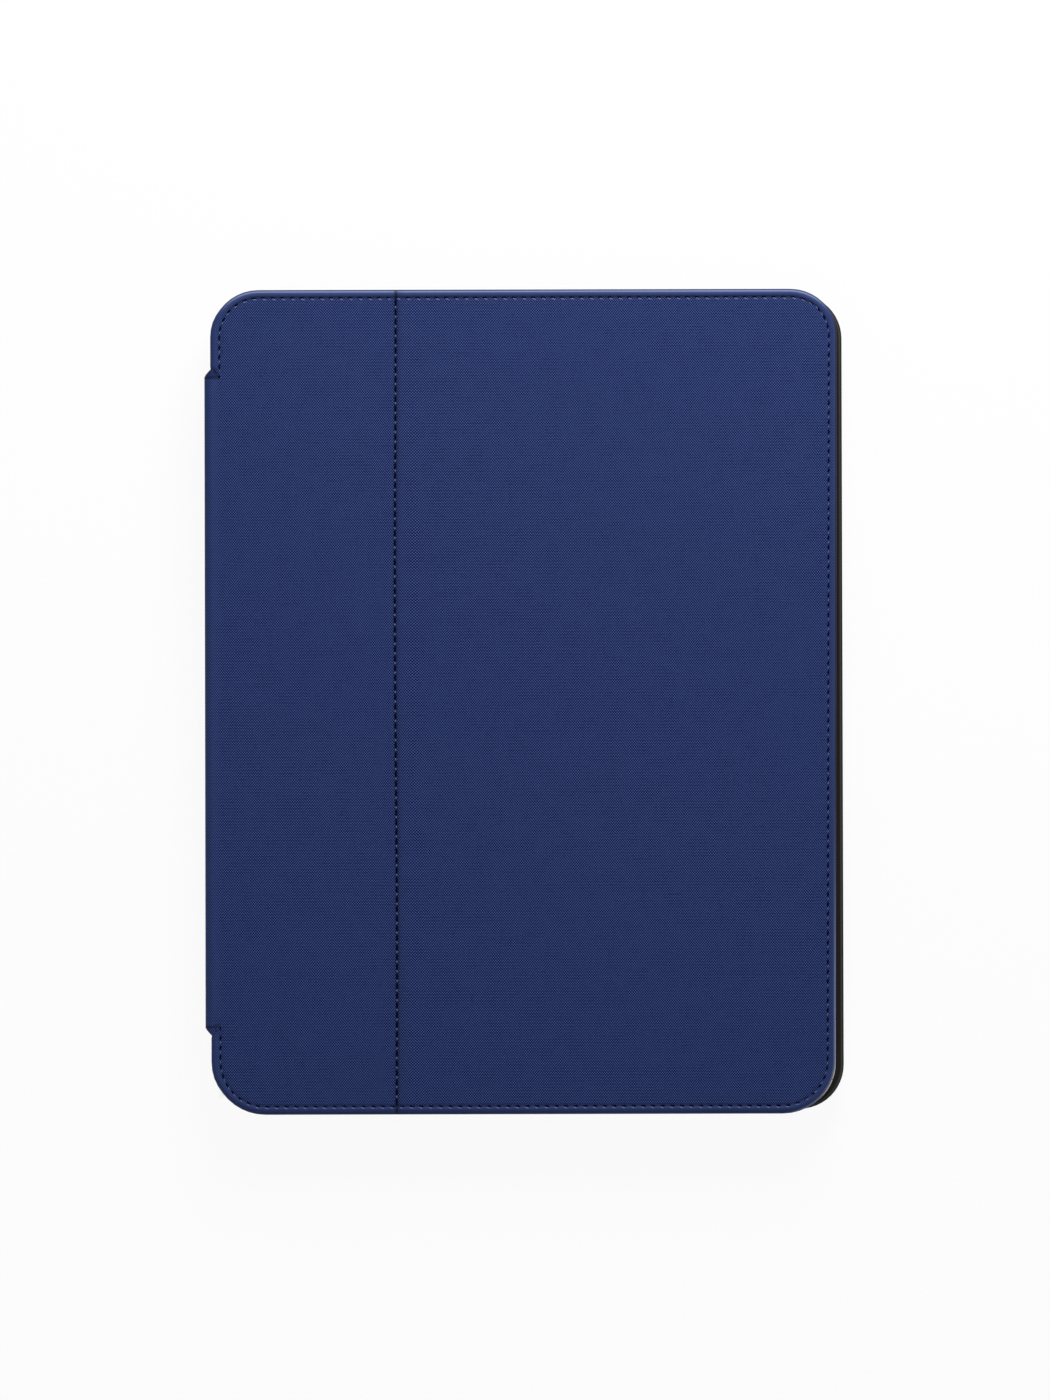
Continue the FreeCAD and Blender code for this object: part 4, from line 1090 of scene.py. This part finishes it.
def dress_nodes(navy, lining):
    """Materials for the CAD pieces that show as they are, by the ends of their names."""
    # Ends, name, dark and light colour, roughness, scale and depth of the grain, gloss
    plastics = (
        (("_button", "_knob"), "button_plastic", (24, 25, 27), (36, 37, 40), 0.48, 2200, 0.02 * MM, 0.45),
        (("_base", "_frame", "_housing"), "keyboard_plastic", (28, 30, 34), (42, 45, 50), 0.58, 1800,
         0.03 * MM, 0.45),
        (("_key", "_keys", "_bar"), "key_plastic", (24, 26, 29), (38, 40, 45), 0.5, 2400, 0.015 * MM, 0.45),
        ("bumper_pads", "bumper_rubber", (18, 18, 19), (32, 32, 33), 0.82, 1200, 0.03 * MM, 0.3),
        ("dome_sheet", "dome_rubber", (40, 40, 42), (58, 58, 61), 0.75, 900, 0.02 * MM, 0.3),
    )
    # Ends, name, dark and light colour, roughness, stretch of the lines
    metals = (
        ("_magnets", "magnet_plating", (170, 170, 174), (208, 208, 212), 0.28, (300, 300, 300)),
        ("_strips", "keeper_steel", (130, 131, 134), (176, 177, 180), 0.35, (2500, 30, 300)),
        ("_socket", "socket_steel", (150, 151, 154), (196, 197, 200), 0.3, (900, 60, 900)),
        ("_screws", "screw_steel", (58, 58, 62), (98, 98, 102), 0.4, (1500, 1500, 80)),
    )
    # Ends, name, two colours of the ground, colour and pitch of the lines
    circuits = (
        ("circuit_sheet", "circuit_film", ((118, 124, 118), (140, 146, 140)), (180, 184, 186), 4.5 * MM),
        ("main_board", "circuit_board", ((10, 48, 22), (16, 62, 30)), (38, 96, 48), 1.6 * MM),
    )
    dressed = []
    for make, rows in ((moulded, plastics), (rolled_metal, metals), (printed_lines, circuits)):
        dressed += [(ends, make(*settings)) for ends, *settings in rows]
    dressed += [
        ("_shell", tray_plastic()), ("_board", grey_board()), ("battery", pouch_foil()),
        ("_lens", frosted_lens()), ("_fabric", navy), ("_lining", lining),
    ]
    for name, node in frame["nodes"].items():
        material = next(material for ends, material in dressed if name.endswith(ends))
        node.data.materials.clear()
        node.data.materials.append(material)


def seen_or_mirrored(flow):
    """1 for rays from the camera, or by way of a mirror or glass, and 0 for light on the object."""
    kinds = ("Is Camera Ray", "Is Glossy Ray", "Is Transmission Ray")
    camera, glossy, clear = [flow.node("ShaderNodeLightPath", output=kind) for kind in kinds]
    return flow.math("MAXIMUM", flow.math("MAXIMUM", camera, glossy), clear)


def make_table():
    """A plain white table, in full shade under the case.

    Beyond the case the camera mostly sees through it, so that only a faint shadow is left there.
    """
    half = 4.0
    corners = [(-half, -half, 0), (half, -half, 0), (half, half, 0), (-half, half, 0)]
    see_through = 0.93
    inner, outer = 12 * MM, 3 * MM
    material, flow, shader = new_material("white_table")
    tree = flow.tree
    tree.nodes.remove(shader)
    shown = seen_or_mirrored(flow)
    unseen = flow.node("ShaderNodeBsdfDiffuse", sockets={"Color": (0.45, 0.45, 0.45, 1)})
    pale = flow.node("ShaderNodeBsdfDiffuse", sockets={"Color": (0.9, 0.9, 0.9, 1)})
    matte = flow.node("ShaderNodeMixShader", sockets={0: shown, 1: unseen, 2: pale})
    open_air = flow.node("ShaderNodeBsdfTransparent")
    place = own_place(flow)
    beyond = [
        flow.math("ABSOLUTE", place.axis(axis)).between(end - inner, end - outer)
        for axis, end in (("X", tray_high.x), ("Y", tray_high.y))
    ]
    clear = shown * flow.math("MAXIMUM", *beyond) * see_through
    mixed = flow.node("ShaderNodeMixShader", sockets={0: clear, 1: matte, 2: open_air})
    tree.links.new(mixed.socket, tree.nodes["Material Output"].inputs["Surface"])
    table = new_piece("table", corners, [(0, 1, 2, 3)], material)
    table.location.z = cad_box[0].z - 0.3 * MM


def make_light():
    """A white room, dimmer as light than as seen, with a window and a soft bounce."""
    world = bpy.data.worlds.new("white_room")
    bpy.context.scene.world = world
    world.use_nodes = True
    tree = world.node_tree
    back = tree.nodes["Background"]
    as_light = 0.3
    strength = as_light + seen_or_mirrored(Flow(tree)) * (1 - as_light)
    tree.links.new(strength.socket, back.inputs["Strength"])
    back.inputs["Color"].default_value = (1, 1, 1, 1)
    # Each lamp's place in metres, power in watts and size in metres
    lamps = {"window": ((0.16, 0.75, 0.52), 8.4, 0.45), "bounce": ((-0.3, -0.6, 1.2), 1.5, 1.0)}
    for name, (place, power, size) in lamps.items():
        lamp = bpy.data.lights.new(name, "AREA")
        lamp.energy = power
        lamp.shape = "SQUARE"
        lamp.size = size
        holder = bpy.data.objects.new(name, lamp)
        holder.location = place
        holder.rotation_euler = (-Vector(place)).to_track_quat("-Z", "Y").to_euler()
        bpy.context.scene.collection.objects.link(holder)


def make_camera():
    """Nearly straight above, at the photograph's framing."""
    pixel = 0.349 * MM
    pixels_high = 1400
    target = Vector((0.3 * MM, 0.5 * MM, COVER_TOP))
    away = 3.2
    tilt = math.radians(1.0)
    roll = -0.0025
    data = bpy.data.cameras.new("photo")
    data.sensor_width = 36.0
    data.lens = data.sensor_width * away / (pixels_high * pixel)
    camera = bpy.data.objects.new("photo", data)
    camera.rotation_euler = (tilt, 0, roll)
    camera.location = target + camera.rotation_euler.to_matrix() @ Vector((0, 0, away))
    data.clip_start = 0.01
    data.clip_end = 50
    bpy.context.scene.collection.objects.link(camera)
    bpy.context.scene.camera = camera


bpy.context.scene.view_settings.view_transform = "Standard"
cloth = navy_cloth()
lining_cloth = microfibre()
make_cover_cloth(cloth)
make_spine(cloth)
make_back_cloth(cloth)
make_tray_lining(lining_cloth)
make_cover_lining(lining_cloth)
make_spine_lining(lining_cloth)
make_sewing(thread(), gathered_cloth())
make_legends(legend_paint())
dress_nodes(cloth, lining_cloth)
make_table()
make_light()
make_camera()
